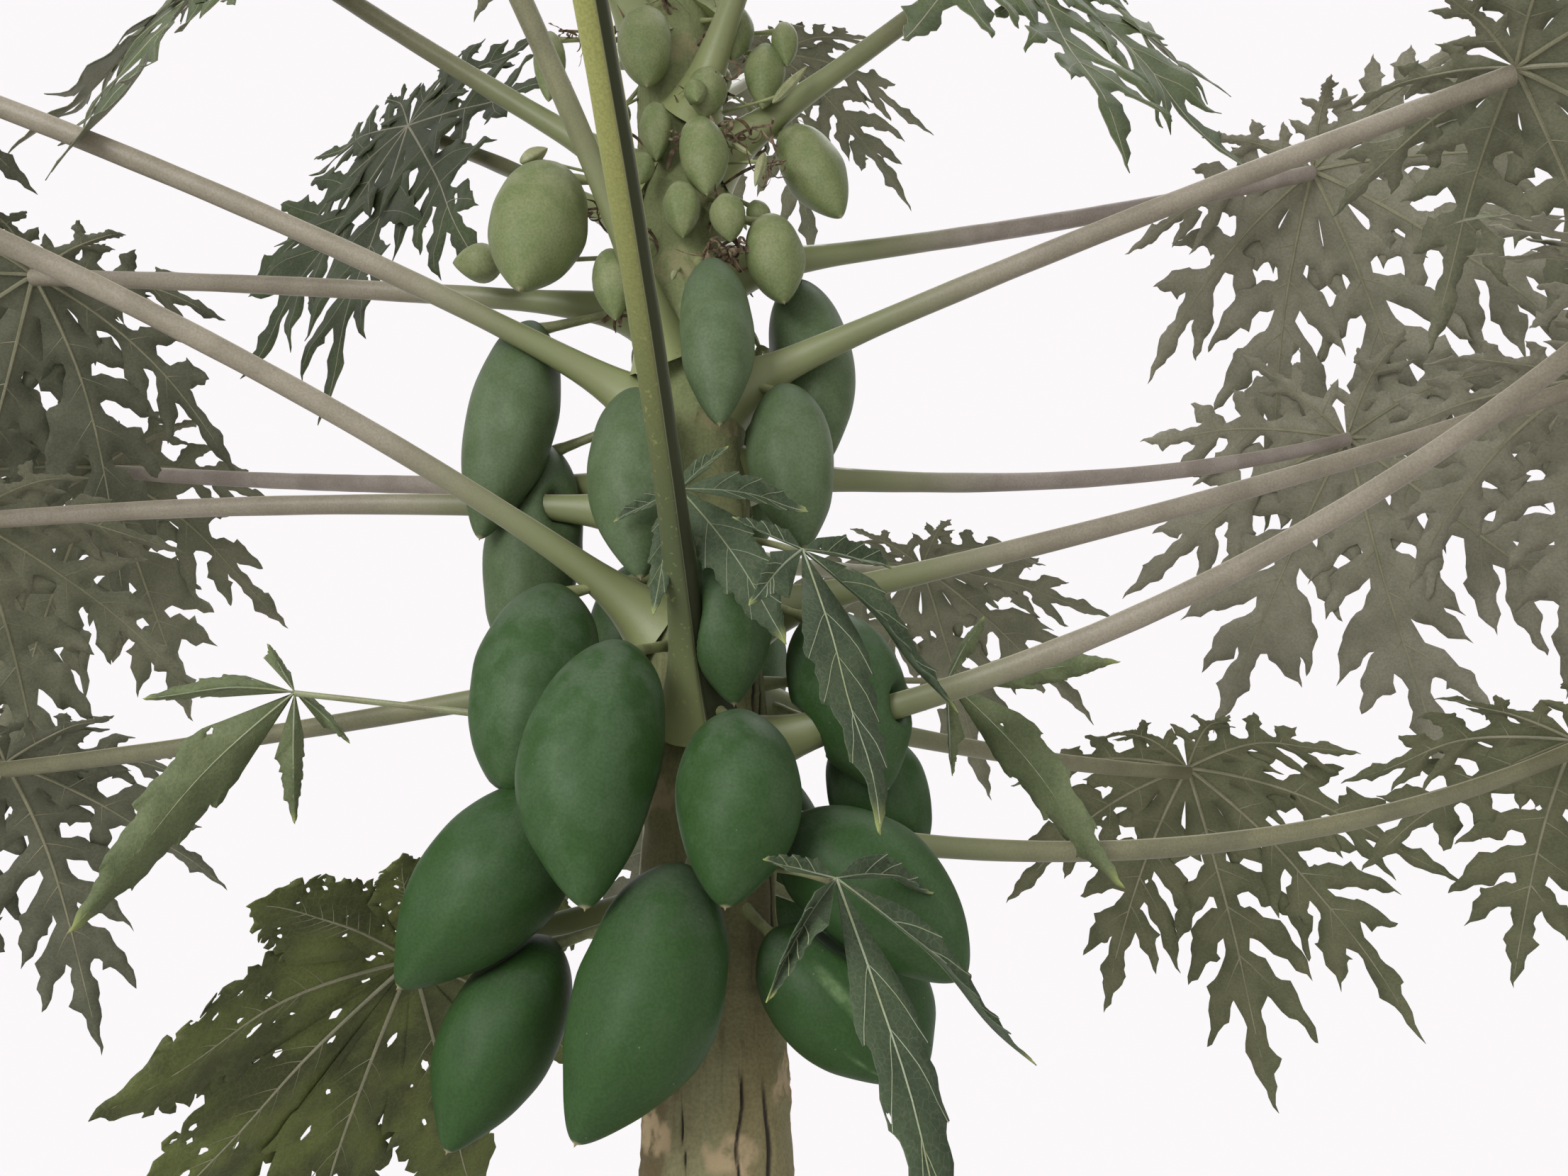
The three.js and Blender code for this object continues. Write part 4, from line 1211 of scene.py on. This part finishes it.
for index in range(FOLDED_LEAVES):
    share = index / (FOLDED_LEAVES - 1)
    values = np.array(FOLDED_FIRST) + (np.array(FOLDED_LAST) - FOLDED_FIRST) * share
    height, reach, lean, length, width = values
    heading = FOLDED_HEADING + SPIRAL_ANGLE * index
    base = round_stem(height, reach, heading)
    rise = unit(outward(heading) * lean + (0, 0, 1))
    add_spindle(folded_leaves, base, base + rise * length, width, 7, 0.16, index)
folded_skin = plain_skin(
    "folded_leaf_skin", FOLDED_GREEN, STALK_FOOT_GREEN, (40.0, 420.0), (0.3, 0.0006), 0.55
)
folded_leaves.piece("folded_leaves", folded_skin, "leaf", ["tip_tuft"])


# Small leaves of side shoots: they come out of old buds on the stem, on thin stalks. Each blade
# has five broad lobes with a few coarse teeth, dark grey-green skin and thin pale veins.
SHOOT_RADIUS = 0.005
SHOOT_STALK_SEED = 300
SHOOT_BLADE_SEED = 640
SHOOT_BITES = 5
SHOOT_STALK = (0.260, 0.290, 0.150, 1)
SHOOT_RIB = (0.300, 0.350, 0.235, 1)
SHOOT_TIP = (0.330, 0.380, 0.130, 1)
# The same values as for a grown leaf. The roll turns the blade about its longest lobe.
SHOOT_ROWS = [
    (2.068, 298, -14, -28, 0.232, 0.290, 10, 65, 0.10, "shoot"),
    (1.675, 296, 0, -14, 0.250, 0.320, 10, 60, 0.10, "shoot"),
    (1.836, 181, 7, 6, 0.443, 0.290, 10, 45, 0.15, "light_shoot", 60),
    (1.902, 6, 4, 0, 0.250, 0.270, -15, 45, 0.10, "light_shoot", -60),
]
# Lobes that are narrow, short or folded along their rib, for each small leaf and by the lobe's
# angle: share of the length, share of the width and height of the fold.
FOLD_ANGLES = (0, 50, -50, 102, -102)
FOLD_ROWS = [
    ((1, 0.8, 0.1), (0.9, 0.6, 0.5), (0.5, 0.7, 0.4), (1, 0.6, 0.5), (0.6, 0.6, 0.6)),
    ((1, 0.6, 0.1), (0.88, 0.42, 0.4), (0.62, 0.32, 0.9), (0.85, 0.5, 0.7), (0.5, 0.45, 0.7)),
    ((1, 0.75, 0.3), (0.7, 0.4, 0.7), (0.65, 0.5, 0.5), (0.5, 0.4, 0.6), (0.6, 0.4, 0.6)),
    ((1, 0.7, 0.2), (0.55, 0.4, 0.7), (1, 0.55, 0.3), (0.5, 0.4, 0.6), (0.8, 0.45, 0.6)),
    ((1, 0.9, 0.1), (0.9, 0.6, 0.6), (0.8, 0.7, 0.3), (0.8, 0.6, 0.6), (0.8, 0.6, 0.6)),
]
# A fifth, smaller one that the stem's fruit half hides.
SMALL_SHOOT = (2.115, 268, -10, -22, 0.135, 0.200, 78, 50, 0.10, "shoot", 75)
shoots = [leaf_of(row, "shoot", SHOOT_RADIUS) for row in SHOOT_ROWS]
shoot_nodes = [f"shoot_{index + 1:02d}" for index in range(len(shoots))]
shoot_stalks, shoot_ribs = Bunch(), Bunch()
shoot_blades = {"shoot": Bunch(), "light_shoot": Bunch()}
green_nodes = {"shoot": shoot_nodes[:2], "light_shoot": shoot_nodes[2:]}
for index, shoot in enumerate(shoots + [leaf_of(SMALL_SHOOT, "shoot", SHOOT_RADIUS)]):
    shoot["folded"] = dict(zip(FOLD_ANGLES, FOLD_ROWS[index]))
    add_stalk(shoot_stalks, shoot, SHOOT_STALK_SEED + index)
    add_blade(shoot_blades[shoot["green"]], shoot_ribs, shoot, SHOOT_BLADE_SEED + index, SHOOT_BITES)
shoot_stalk_skin = stalk_material("shoot_stalk_skin", SHOOT_STALK, STALK_COLOURS["olive"][0])
shoot_stalks.piece("shoot_stalks", shoot_stalk_skin, "shoot", shoot_nodes)
for green, bunch in shoot_blades.items():
    finish_blades(bunch, f"{green}_blades", green, "shoot", green_nodes[green], SHOOT_TIP)
shoot_rib_skin = plain_skin("shoot_rib_skin", SHOOT_RIB, SHOOT_STALK, (20.0, 500.0), (0.2, 0.0005))
shoot_ribs.piece("shoot_ribs", shoot_rib_skin, "shoot", shoot_nodes)


# The fruit: fleshy berries with a smooth waxy skin and five faint ridges, hung close round the
# stem. Each presses flat where it meets the stem, a leaf stalk or the fruit beside it, and ends
# in a small point. The lower ones are grown, and those under the crown are young and pale.
FRUIT_SHOULDER = 0.88
FRUIT_FULLNESS = 0.62
FRUIT_SIDES = 60
FRUIT_RINGS = 52
FRUIT_RIDGES = 5
FRUIT_RIDGE = 0.016
FRUIT_POINT = 0.003
FRUIT_UNEVEN = 0.0012
FRUIT_SEED = 900
FRUIT_GAP = 0.0012
FRUIT_STEM_GAP = 0.002
# How far along a leaf stalk a fruit can reach it, and how finely a pressed spot is found.
NEAR_STALK = 0.5
PRESS_ROUNDS = 11
YOUNG_FRUIT_HEIGHT = 2.480
# The heights of a fruit's top between which painted shade deepens its skin downwards and painted light
# pales it upwards.
LOW_HEIGHTS = (1.84, 1.62)
UPPER_HEIGHTS = (1.93, 2.30)
# Height of the fruit's top, its reach from the stem's middle and its heading, the same three of
# its tip, and its width.
FRUIT_ROWS = [
    (1.905, 0.188, 245, 1.623, 0.242, 243, 0.146),
    (1.827, 0.186, 285, 1.624, 0.217, 277, 0.128),
    (1.671, 0.148, 265, 1.410, 0.225, 237, 0.148),
    (1.759, 0.165, 208, 1.550, 0.338, 199, 0.148),
    (1.604, 0.181, 193, 1.392, 0.283, 199, 0.124),
    (1.719, 0.145, 309, 1.560, 0.302, 331, 0.138),
    (1.607, 0.118, 305, 1.460, 0.225, 328, 0.122),
    (2.000, 0.182, 205, 1.727, 0.228, 208, 0.144),
    (2.389, 0.205, 182, 2.079, 0.270, 184, 0.114),
    (2.423, 0.108, 290, 2.184, 0.128, 287, 0.092),
    (2.239, 0.122, 239, 1.988, 0.150, 247, 0.112),
    (2.271, 0.130, 335, 2.047, 0.150, 331, 0.108),
    (2.471, 0.150, 9, 2.203, 0.172, 10, 0.110),
    (2.563, 0.186, 210, 2.363, 0.238, 213, 0.122),
    (2.644, 0.096, 288, 2.519, 0.108, 289, 0.064),
    (2.831, 0.089, 246, 2.696, 0.100, 248, 0.076),
    (2.683, 0.150, 352, 2.528, 0.215, 349, 0.082),
    (2.517, 0.125, 333, 2.379, 0.145, 330, 0.076),
    (2.048, 0.118, 290, 1.846, 0.130, 288, 0.104),
    (1.975, 0.148, 340, 1.762, 0.212, 346, 0.134),
    (1.858, 0.190, 20, 1.681, 0.255, 17, 0.123),
    (1.639, 0.165, 24, 1.452, 0.245, 17, 0.118),
    (2.237, 0.205, 166, 1.925, 0.250, 166, 0.126),
]
# The fruit behind the stem, in tiers. Height, length, width and how far the tip hangs out, for
# the top tier and the step from one tier to the next.
BACK_FRUIT = 5
BACK_TIERS = 3
BACK_HEADINGS = (62, 118)
BACK_TURN = 12
BACK_FIRST = (2.36, 0.240, 0.112, 0.034)
BACK_STEP = (-0.27, 0.012, 0.012, 0.016)
USUAL_BOW = 0.03
# By the fruit's row, counted from 0: how far it bows as a share of its width and towards which
# side, and how full its end is.
FRUIT_BOWS = {
    0: (0.12, 80, 0.5),
    1: (0.05, -80, 0.6),
    2: (0.10, -90, 0.4),
    3: (0.06, -60, 0.1),
    4: (0.05, 60, 0.2),
    5: (0.08, -60, 1.0),
    7: (0.05, 80, 0.4),
}
FRUIT_GREEN = (0.054, 0.104, 0.042, 1)
# The deeper green: the blotches, and below a fruit's middle partly painted light.
FRUIT_DEEP = (0.032, 0.078, 0.020, 1)
FRUIT_BLOOM = (0.080, 0.116, 0.070, 1)
# Painted shade on the lowest fruit.
FRUIT_LOW_SHADE = (0.024, 0.062, 0.014, 1)
FRUIT_STREAK = (0.150, 0.240, 0.105, 1)
# How strongly pale streaks run down a fruit, by its row. They are plain on one and faint elsewhere.
FRUIT_STREAKS = {6: 0.8}
FAINT_STREAK = 0.06
# Painted light: the lighter colour and blotch colour of the upper fruit.
UPPER_LIT_GREEN = (0.118, 0.162, 0.084, 1)
UPPER_LIT_DEEP = (0.084, 0.126, 0.056, 1)
FRUIT_FLECK = (0.160, 0.200, 0.120, 1)
YOUNG_GREEN = (0.225, 0.250, 0.122, 1)
# The young fruit's deeper green: the blotches, and below the middle partly painted light.
YOUNG_DEEP = (0.160, 0.200, 0.082, 1)
YOUNG_BLOOM = (0.280, 0.300, 0.175, 1)
FRUIT_TIP = (0.330, 0.300, 0.180, 1)


def fruit_of(row, index):
    """A fruit's ends, width and CAD node from its row of values."""
    height, reach, heading, tip_height, tip_reach, tip_heading, width = row
    return {
        "height": height,
        "heading": heading,
        "top": round_stem(height, reach, heading),
        "tip": round_stem(tip_height, tip_reach, tip_heading),
        "width": width,
        "node": f"fruit_{index + 1:02d}",
    }


def back_fruit():
    """Rows of the fruit behind the stem, in tiers that turn a little from one to the next."""
    rows = []
    for tier in range(BACK_TIERS):
        height, length, width, swing = np.array(BACK_FIRST) + np.array(BACK_STEP) * tier
        seat = float(stem_radius(height)) + width / 2
        for first in BACK_HEADINGS:
            heading = first + BACK_TURN * (tier % 2)
            rows.append((height, seat + 0.004, heading, height - length, seat + swing, heading, width))
    return rows[:BACK_FRUIT]


def fruit_shape(share):
    """A fruit's radius from its top to its tip, as a share of its half width."""
    return np.maximum(np.sin(np.pi * share**FRUIT_SHOULDER), 0) ** FRUIT_FULLNESS


def from_line(fruit, points):
    """Where points lie along a fruit, as a share of its length, and how far from its middle line."""
    line = fruit["tip"] - fruit["top"]
    share = np.clip((points - fruit["top"]) @ line / (line @ line), 0, 1)
    return share, np.linalg.norm(points - fruit["top"] - share[:, None] * line, axis=1)


def fruit_holds(fruit, points, room):
    """Which points lie inside a fruit, or within some room of it."""
    share, away = from_line(fruit, points)
    return away < fruit["width"] / 2 * fruit_shape(share) + room


def stalk_holds(leaf, points, room):
    """Which points lie inside a leaf's stalk, or within some room of it."""
    distance = np.linspace(0, min(leaf["length"], NEAR_STALK), 80)
    apart = points[:, None, :] - stalk_line(leaf, distance)[0]
    apart[..., 2] += np.clip(-apart[..., 2], 0, foot_drop(leaf, distance))
    away = np.linalg.norm(apart, axis=2) - stalk_width(leaf, distance)
    return away.min(1) < room


def stem_holds(points, room):
    """Which points lie inside the stem, or within some room of it."""
    away = np.linalg.norm((points - stem_middle(points[:, 2]))[:, :2], axis=1)
    return away < stem_radius(points[:, 2]) + room


def pressed(fruit, middle, points, neighbours):
    """A fruit's points, pulled in towards its own middle line where something presses on it."""
    reach = fruit["width"] / 2 + 0.03
    blockers = [lambda spots: stem_holds(spots, FRUIT_STEM_GAP)]
    for other in neighbours:
        if other["kind"] == "fruit":
            blockers.append(lambda spots, other=other: fruit_holds(other, spots, FRUIT_GAP))
        else:
            near = stalk_line(other, np.linspace(0, min(other["length"], NEAR_STALK), 30))[0]
            if from_line(fruit, near)[1].min() < reach:
                blockers.append(lambda spots, other=other: stalk_holds(other, spots, FRUIT_GAP))
    shape = points.shape
    flat, axis = points.reshape(-1, 3), middle.reshape(-1, 3)
    kept = np.ones(len(flat))
    for blocked in blockers:
        hit = np.flatnonzero(blocked(flat))
        if not len(hit):
            continue
        low, high = np.zeros(len(hit)), np.ones(len(hit))
        for _ in range(PRESS_ROUNDS):
            half = (low + high) / 2
            spots = axis[hit] + (flat[hit] - axis[hit]) * half[:, None]
            held = blocked(spots)
            high = np.where(held, half, high)
            low = np.where(held, low, half)
        kept[hit] = np.minimum(kept[hit], low)
    kept = kept.reshape(shape[:2])
    for _ in range(3):
        around = (np.roll(kept, 1, 1) + np.roll(kept, -1, 1) + kept * 2) / 4
        padded = np.concatenate([around[:1], around, around[-1:]])
        along = (padded[:-2] + padded[2:] + around * 2) / 4
        kept = np.minimum(kept, along)
    return middle + (points - middle) * kept[..., None]


def add_fruit(fruit, index, neighbours, material, slot):
    """One fruit as a piece of its own."""
    draw = np.random.default_rng(FRUIT_SEED + index)
    line = fruit["tip"] - fruit["top"]
    along = unit(line)
    aside = unit(np.cross(along, outward(fruit["heading"])))
    front = np.cross(aside, along)
    share = (1 - np.cos(np.pi * np.arange(FRUIT_RINGS + 1) / FRUIT_RINGS)) / 2
    phase = turns(FRUIT_SIDES)
    usual = (USUAL_BOW, draw.uniform(0, 360), draw.uniform(0.2, 0.7))
    bow, side, full = FRUIT_BOWS.get(index, usual)
    bend = bow * fruit["width"] * np.sin(np.pi * share**1.3)
    lean = math.radians(side)
    middle = fruit["top"] + share[:, None] * line
    middle = middle + bend[:, None] * (math.cos(lean) * front + math.sin(lean) * aside)
    middle[-1] += along * FRUIT_POINT
    belly = np.sin(np.pi * share)[:, None]
    turn = draw.uniform(0, 2 * math.pi)
    ridge = np.cos(FRUIT_RIDGES * (phase + turn)[None, :] + 0.5 * np.sin(3 * share)[:, None])
    swell = 1 + FRUIT_RIDGE * ridge * belly**0.5
    swell += (0.05 * smooth(0.35, 0.1, share) - 0.20 * (1 - full) * smooth(0.72, 0.98, share))[:, None]
    reach = (fruit["width"] / 2 * fruit_shape(share))[:, None] * swell
    points = rings_round(middle, front, aside, reach, phase)
    reach = reach + FRUIT_UNEVEN * ripple(points, 0.07, 40 + index) * belly
    points = rings_round(middle, front, aside, reach, phase)
    spine = np.broadcast_to(middle[:, None, :], points.shape)
    points = pressed(fruit, spine, points, neighbours)
    body, faces = skin(points[:, ::-1])
    around = np.stack(np.broadcast_arrays(np.cos(phase), np.sin(phase), 0.14 * share[:, None]), axis=-1)
    streak = smooth(0.10, 0.75, ripple(around, 0.42, 70 + index)) * smooth(0.25, 0.45, share)[:, None]
    shape = Bunch()
    shape.add(
        body,
        faces,
        along=np.repeat(share, FRUIT_SIDES),
        tone=draw.uniform(0, 1),
        upper=smooth(*UPPER_HEIGHTS, fruit["height"]),
        lower=smooth(*LOW_HEIGHTS, fruit["height"]),
        streak=(streak * FRUIT_STREAKS.get(index, FAINT_STREAK))[:, ::-1].ravel(),
    )
    shape.piece(fruit["node"].replace("fruit", "papaya"), material, slot, [fruit["node"]], 180)


def fruit_material(name, colour, deep, bloom, upper=None):
    """Waxy skin: greyer at the shoulder, deeper below the middle from random tone and painted light,
    darker with painted shade on the lowest fruit and lighter with painted light on the upper ones, with
    faint streaks, pale specks and a dry tip."""
    made, tree, shader = new_material(name, 0.50)
    along = attribute(tree, "along")
    tone = calculated(tree, "MULTIPLY", attribute(tree, "tone"), 0.45)
    cloudy = ranged(tree, noise(tree, 13.0, 2.0), 0.35, 0.7, 0.0, 0.55)
    # Deeper below the middle: random tone, and painted light on the lower half.
    low = ranged(tree, along, 0.25, 0.75)
    depth = calculated(tree, "MULTIPLY", low, calculated(tree, "ADD", tone, cloudy))
    skin_colour = mixed(tree, depth, colour, deep)
    blotch = deep
    if upper:
        # Painted light: the upper fruit turn lighter.
        high = calculated(tree, "MULTIPLY", attribute(tree, "upper"), 0.8)
        skin_colour = mixed(tree, high, skin_colour, upper)
        blotch = mixed(tree, attribute(tree, "upper"), deep, UPPER_LIT_DEEP)
        # Painted shade: the lowest fruit turn darker.
        low_fruit_shade = calculated(tree, "MULTIPLY", attribute(tree, "lower"), 0.75)
        skin_colour = mixed(tree, low_fruit_shade, skin_colour, FRUIT_LOW_SHADE)
    shoulder = ranged(tree, along, 0.0, 0.42, 0.85, 0.0)
    skin_colour = mixed(tree, shoulder, skin_colour, bloom)
    skin_colour = mixed(tree, attribute(tree, "streak"), skin_colour, FRUIT_STREAK)
    skin_colour, grain = plant_skin(tree, skin_colour, blotch, 30.0, 330.0)
    place = new_node(tree, "ShaderNodeTexCoord")
    dots = new_node(tree, "ShaderNodeTexVoronoi", {"Scale": 38.0})
    tree.links.new(place.outputs["Object"], dots.inputs["Vector"])
    fleck = ranged(tree, dots.outputs["Distance"], 0.022, 0.045, 0.7, 0.0)
    skin_colour = mixed(tree, fleck, skin_colour, FRUIT_FLECK)
    skin_colour = mixed(tree, ranged(tree, along, 0.988, 0.997, 0.0, 0.9), skin_colour, FRUIT_TIP)
    tree.links.new(skin_colour, shader.inputs["Base Color"])
    shader.inputs["Specular IOR Level"].default_value = 0.22
    relief(tree, shader, grain, 0.12, 0.0006)
    return made


fruits = [fruit_of(row, index) for index, row in enumerate(FRUIT_ROWS + back_fruit())]
grown_skin = fruit_material("grown_fruit_skin", FRUIT_GREEN, FRUIT_DEEP, FRUIT_BLOOM, UPPER_LIT_GREEN)
young_skin = fruit_material("young_fruit_skin", YOUNG_GREEN, YOUNG_DEEP, YOUNG_BLOOM)
neighbours = [dict(leaf, kind="stalk") for leaf in leaves + shoots]
for index, fruit in enumerate(fruits):
    finish = (grown_skin, "fruit")
    if fruit["height"] > YOUNG_FRUIT_HEIGHT:
        finish = (young_skin, "young_fruit")
    add_fruit(fruit, index, neighbours, *finish)
    neighbours.append(dict(fruit, kind="fruit"))


# Fruit stalks: short, thick and yellow-green. Each comes out of the stem above a leaf scar and
# swells where it enters the top of its fruit.
FRUIT_STALK_RADIUS = 0.007
FRUIT_STALK_RISE = 0.028
FRUIT_STALK_SINK = 0.014
FRUIT_STALK_SEED = 700
FRUIT_STALK_GREEN = (0.300, 0.330, 0.150, 1)
FRUIT_STALK_SHADE = (0.215, 0.230, 0.110, 1)


def add_fruit_stalk(bunch, fruit, seed, thick=FRUIT_STALK_RADIUS):
    """One fruit's stalk, from inside the stem to just inside the fruit's top."""
    seat = float(stem_radius(fruit["height"])) - 0.008
    foot = round_stem(fruit["height"] + FRUIT_STALK_RISE, seat, fruit["heading"])
    end = fruit["top"] + unit(fruit["tip"] - fruit["top"]) * FRUIT_STALK_SINK
    share = np.linspace(0, 1, 16)[:, None]
    points = foot + (end - foot) * share
    across = outward(fruit["heading"] - 90)
    over = np.cross(across, unit(end - foot))
    radius = thick * (0.86 + 0.40 * smooth(0.35, 0.0, share) + 0.42 * smooth(0.6, 1.0, share))
    radius = radius * (1 + 0.05 * ripple(points, 0.02, seed)[:, None])
    bunch.add(*skin(rings_round(points, across, over, radius, turns(12))))


fruit_stalks = Bunch()
for index, fruit in enumerate(fruits):
    add_fruit_stalk(fruit_stalks, fruit, FRUIT_STALK_SEED + index)
fruit_stalk_skin = plain_skin(
    "fruit_stalk_skin", FRUIT_STALK_GREEN, FRUIT_STALK_SHADE, (40.0, 500.0), (0.25, 0.0006)
)
fruit_stalks.piece("fruit_stalks", fruit_stalk_skin, "fruit", [fruit["node"] for fruit in fruits])


# Fruitlets, flowers and dried remains: under the crown every old leaf foot carries a short bunch.
# Fruitlets are fruit a few centimetres long, buds and petals are pale and fleshy, and what has
# withered hangs on as thin brown curled shreds. All of them grow out of the stem.
# Places as for the fruit: first the ones that the photo shows, then a rule adds more all round.
FRUITLET_ROWS = [
    (2.462, 0.243, 188, 2.460, 0.309, 187, 0.052),
    (2.450, 0.126, 222, 2.347, 0.122, 224, 0.052),
    (2.546, 0.092, 271, 2.462, 0.092, 271, 0.049),
    (2.527, 0.109, 303, 2.456, 0.111, 304, 0.047),
    (2.783, 0.146, 331, 2.679, 0.135, 329, 0.056),
    (2.816, 0.181, 199, 2.698, 0.185, 199, 0.044),
    (2.731, 0.097, 299, 2.652, 0.093, 294, 0.053),
    (2.831, 0.125, 317, 2.744, 0.117, 313, 0.050),
    (2.675, 0.089, 252, 2.584, 0.090, 251, 0.044),
    (2.811, 0.173, 332, 2.739, 0.173, 332, 0.037),
]
BUD_ROWS = [
    (2.671, 0.157, 325, 2.730, 0.201, 333, 0.014),
    (2.589, 0.148, 320, 2.537, 0.136, 316, 0.014),
    (2.560, 0.232, 209, 2.585, 0.200, 213, 0.020),
]
# Where a withered bunch ends: height, reach from the stem's middle and heading.
SHRED_PLACES = [
    (2.613, 0.095, 274),
    (2.632, 0.116, 305),
    (2.584, 0.165, 329),
    (2.526, 0.142, 205),
    (2.508, 0.114, 304),
    (2.450, 0.092, 292),
    (2.453, 0.150, 348),
    (2.816, 0.171, 201),
    (2.709, 0.117, 306),
    (2.640, 0.152, 326),
    (2.455, 0.120, 312),
    (2.694, 0.098, 285),
]
BUNCHES = 54
BUNCH_HEIGHTS = (2.32, 3.02)
BUNCH_SEED = 31
BUNCH_KINDS = ["fruitlet", "bud", "flower", "shreds"]
BUNCH_SHARES = [0.24, 0.30, 0.12, 0.34]
SMALL_STALK_SEED = 1200
FRUITLET_STALK = 0.0036
BUD_STALK = 0.0022
SHREDS = 10
PETALS = 5
CURL_STEPS = 11
BUD_GREEN = (0.300, 0.315, 0.165, 1)
BUD_SHADE = (0.235, 0.255, 0.120, 1)
DRY_BROWN = (0.135, 0.088, 0.045, 1)
DRY_PALE = (0.300, 0.225, 0.145, 1)
DRY_DARK = (0.060, 0.038, 0.022, 1)


def curled(start, direction, length, curl, draw):
    """Points of a thin thing that curls at random as it hangs."""
    points = [np.array(start, float)]
    direction = np.array(direction, float)
    axis = draw.normal(size=3)
    for _ in range(CURL_STEPS):
        axis = unit(axis + 0.3 * draw.normal(size=3))
        direction = direction + curl * np.cross(axis, direction)
        direction[2] -= 0.07
        direction = unit(direction)
        points.append(points[-1] + direction * length / CURL_STEPS)
    return np.array(points)


def add_strip(bunch, points, width, thickness, draw, **marks):
    """A flat strip along points, widest in its middle."""
    across, over = line_frame(points, draw.normal(size=3))
    half = width / 2 * np.sin(np.pi * np.linspace(0.12, 0.95, len(points))) ** 0.7
    phase = turns(6)
    wide = half[:, None] * np.cos(phase)
    thin = thickness / 2 * np.sin(phase) * np.ones_like(wide)
    rings = points[:, None, :] + across[:, None, :] * wide[..., None] + over[:, None, :] * thin[..., None]
    bunch.add(*skin(rings), **marks)


def add_shreds(bunch, place, heading, draw):
    """A withered bunch: its dry stalk from the stem, and the shreds that hang from its end."""
    height = place[2]
    foot = round_stem(height + draw.uniform(-0.005, 0.015), float(stem_radius(height)) - 0.004, heading)
    share = np.linspace(0, 1, 12)[:, None]
    stalk = foot + (place - foot) * share
    stalk[:, 2] += 0.012 * np.sin(np.pi * share[:, 0])
    add_strip(bunch, stalk, 0.0050, 0.0036, draw, tone=0.5)
    for _ in range(SHREDS):
        start = foot + (place - foot) * draw.uniform(0.55, 1.0)
        direction = outward(heading + draw.uniform(-120, 120)) + (0, 0, draw.uniform(-1.6, 0.6))
        strip = curled(start, direction, draw.uniform(0.018, 0.052), draw.uniform(0.1, 0.6), draw)
        add_strip(bunch, strip, draw.uniform(0.0018, 0.0075), 0.0006, draw, tone=draw.uniform(0, 1))


def add_flower(petals, middle, direction, draw):
    """Five narrow fleshy petals that curl back from a flower's middle."""
    side = unit(np.cross(direction, draw.normal(size=3)))
    other = np.cross(direction, side)
    for turn in turns(PETALS):
        away = direction * 1.1 + side * math.cos(turn) + other * math.sin(turn)
        strip = curled(middle, unit(away), draw.uniform(0.026, 0.036), 0.12, draw)
        add_strip(petals, strip, 0.0085, 0.0014, draw, along=0.4)


def small_row(height, heading, length, width, draw):
    """A row of values for a fruitlet or bud that the rule adds close to the stem."""
    seat = float(stem_radius(height)) + draw.uniform(0.022, 0.045)
    tip_reach = seat + draw.uniform(0.0, 0.030)
    return (height, seat, heading, height - length, tip_reach, heading + draw.uniform(-6, 6), width)


fruitlets, buds, small_stalks, shreds = Bunch(), Bunch(), Bunch(), Bunch()
draw = np.random.default_rng(BUNCH_SEED)
small_rows = [("fruitlet", row) for row in FRUITLET_ROWS] + [("bud", row) for row in BUD_ROWS]
shred_places = [(round_stem(*place), place[2]) for place in SHRED_PLACES]
bunch_lowest, bunch_highest = BUNCH_HEIGHTS
for index in range(BUNCHES):
    height = bunch_lowest + (bunch_highest - bunch_lowest) * (index + draw.uniform(0, 1)) / BUNCHES
    heading = (25 + SPIRAL_ANGLE * index + draw.uniform(-12, 12)) % 360
    kind = draw.choice(BUNCH_KINDS, p=BUNCH_SHARES)
    if kind == "shreds":
        place = round_stem(height, float(stem_radius(height)) + draw.uniform(0.015, 0.05), heading)
        shred_places.append((place, heading))
    else:
        length, width = draw.uniform(0.020, 0.034), draw.uniform(0.007, 0.010)
        if kind == "fruitlet":
            length = draw.uniform(0.040, 0.070)
            width = length * draw.uniform(0.55, 0.70)
        small_rows.append((kind, small_row(height, heading, length, width, draw)))
for index, (kind, row) in enumerate(small_rows):
    small = fruit_of(row, index)
    span = small["tip"] - small["top"]
    spots = small["top"] + np.linspace(0, 1, 9)[:, None] * span
    seen = index < len(FRUITLET_ROWS) + len(BUD_ROWS)
    width = small["width"]
    blocked = any(stalk_holds(leaf, spots, 0.4 * width).any() for leaf in leaves)
    blocked = blocked or any(fruit_holds(fruit, spots, 0.4 * width).any() for fruit in fruits)
    if blocked and not seen:
        continue
    thick = FRUITLET_STALK if kind == "fruitlet" else BUD_STALK
    add_fruit_stalk(small_stalks, small, SMALL_STALK_SEED + index, thick)
    if kind == "fruitlet":
        tone = draw.uniform(0, 1)
        add_spindle(fruitlets, small["top"], small["tip"], width, 5, 0.03, index, tone=tone)
    else:
        add_spindle(buds, small["top"], small["tip"], width, 5, 0.10, index)
    if kind == "flower":
        add_flower(buds, small["tip"] - 0.2 * span, unit(span), draw)
for place, heading in shred_places:
    add_shreds(shreds, np.asarray(place), heading, draw)
fruitlets.piece("fruitlets", young_skin, "young_fruit", [])
bud_skin = plain_skin("bud_skin", BUD_GREEN, BUD_SHADE, (60.0, 500.0), (0.25, 0.0005))
buds.piece("flower_buds", bud_skin, "young_fruit", [])
small_stalks.piece("small_flower_stalks", fruit_stalk_skin, "young_fruit", [])
dry_skin, tree, shader = new_material("dry_skin", 0.85)
skin_colour = mixed(tree, attribute(tree, "tone"), DRY_BROWN, DRY_PALE)
skin_colour, grain = plant_skin(tree, skin_colour, DRY_DARK, 90.0, 600.0)
tree.links.new(skin_colour, shader.inputs["Base Color"])
relief(tree, shader, grain, 0.5, 0.0008)
shreds.piece("dried_flower_shreds", dry_skin, "young_fruit", [])
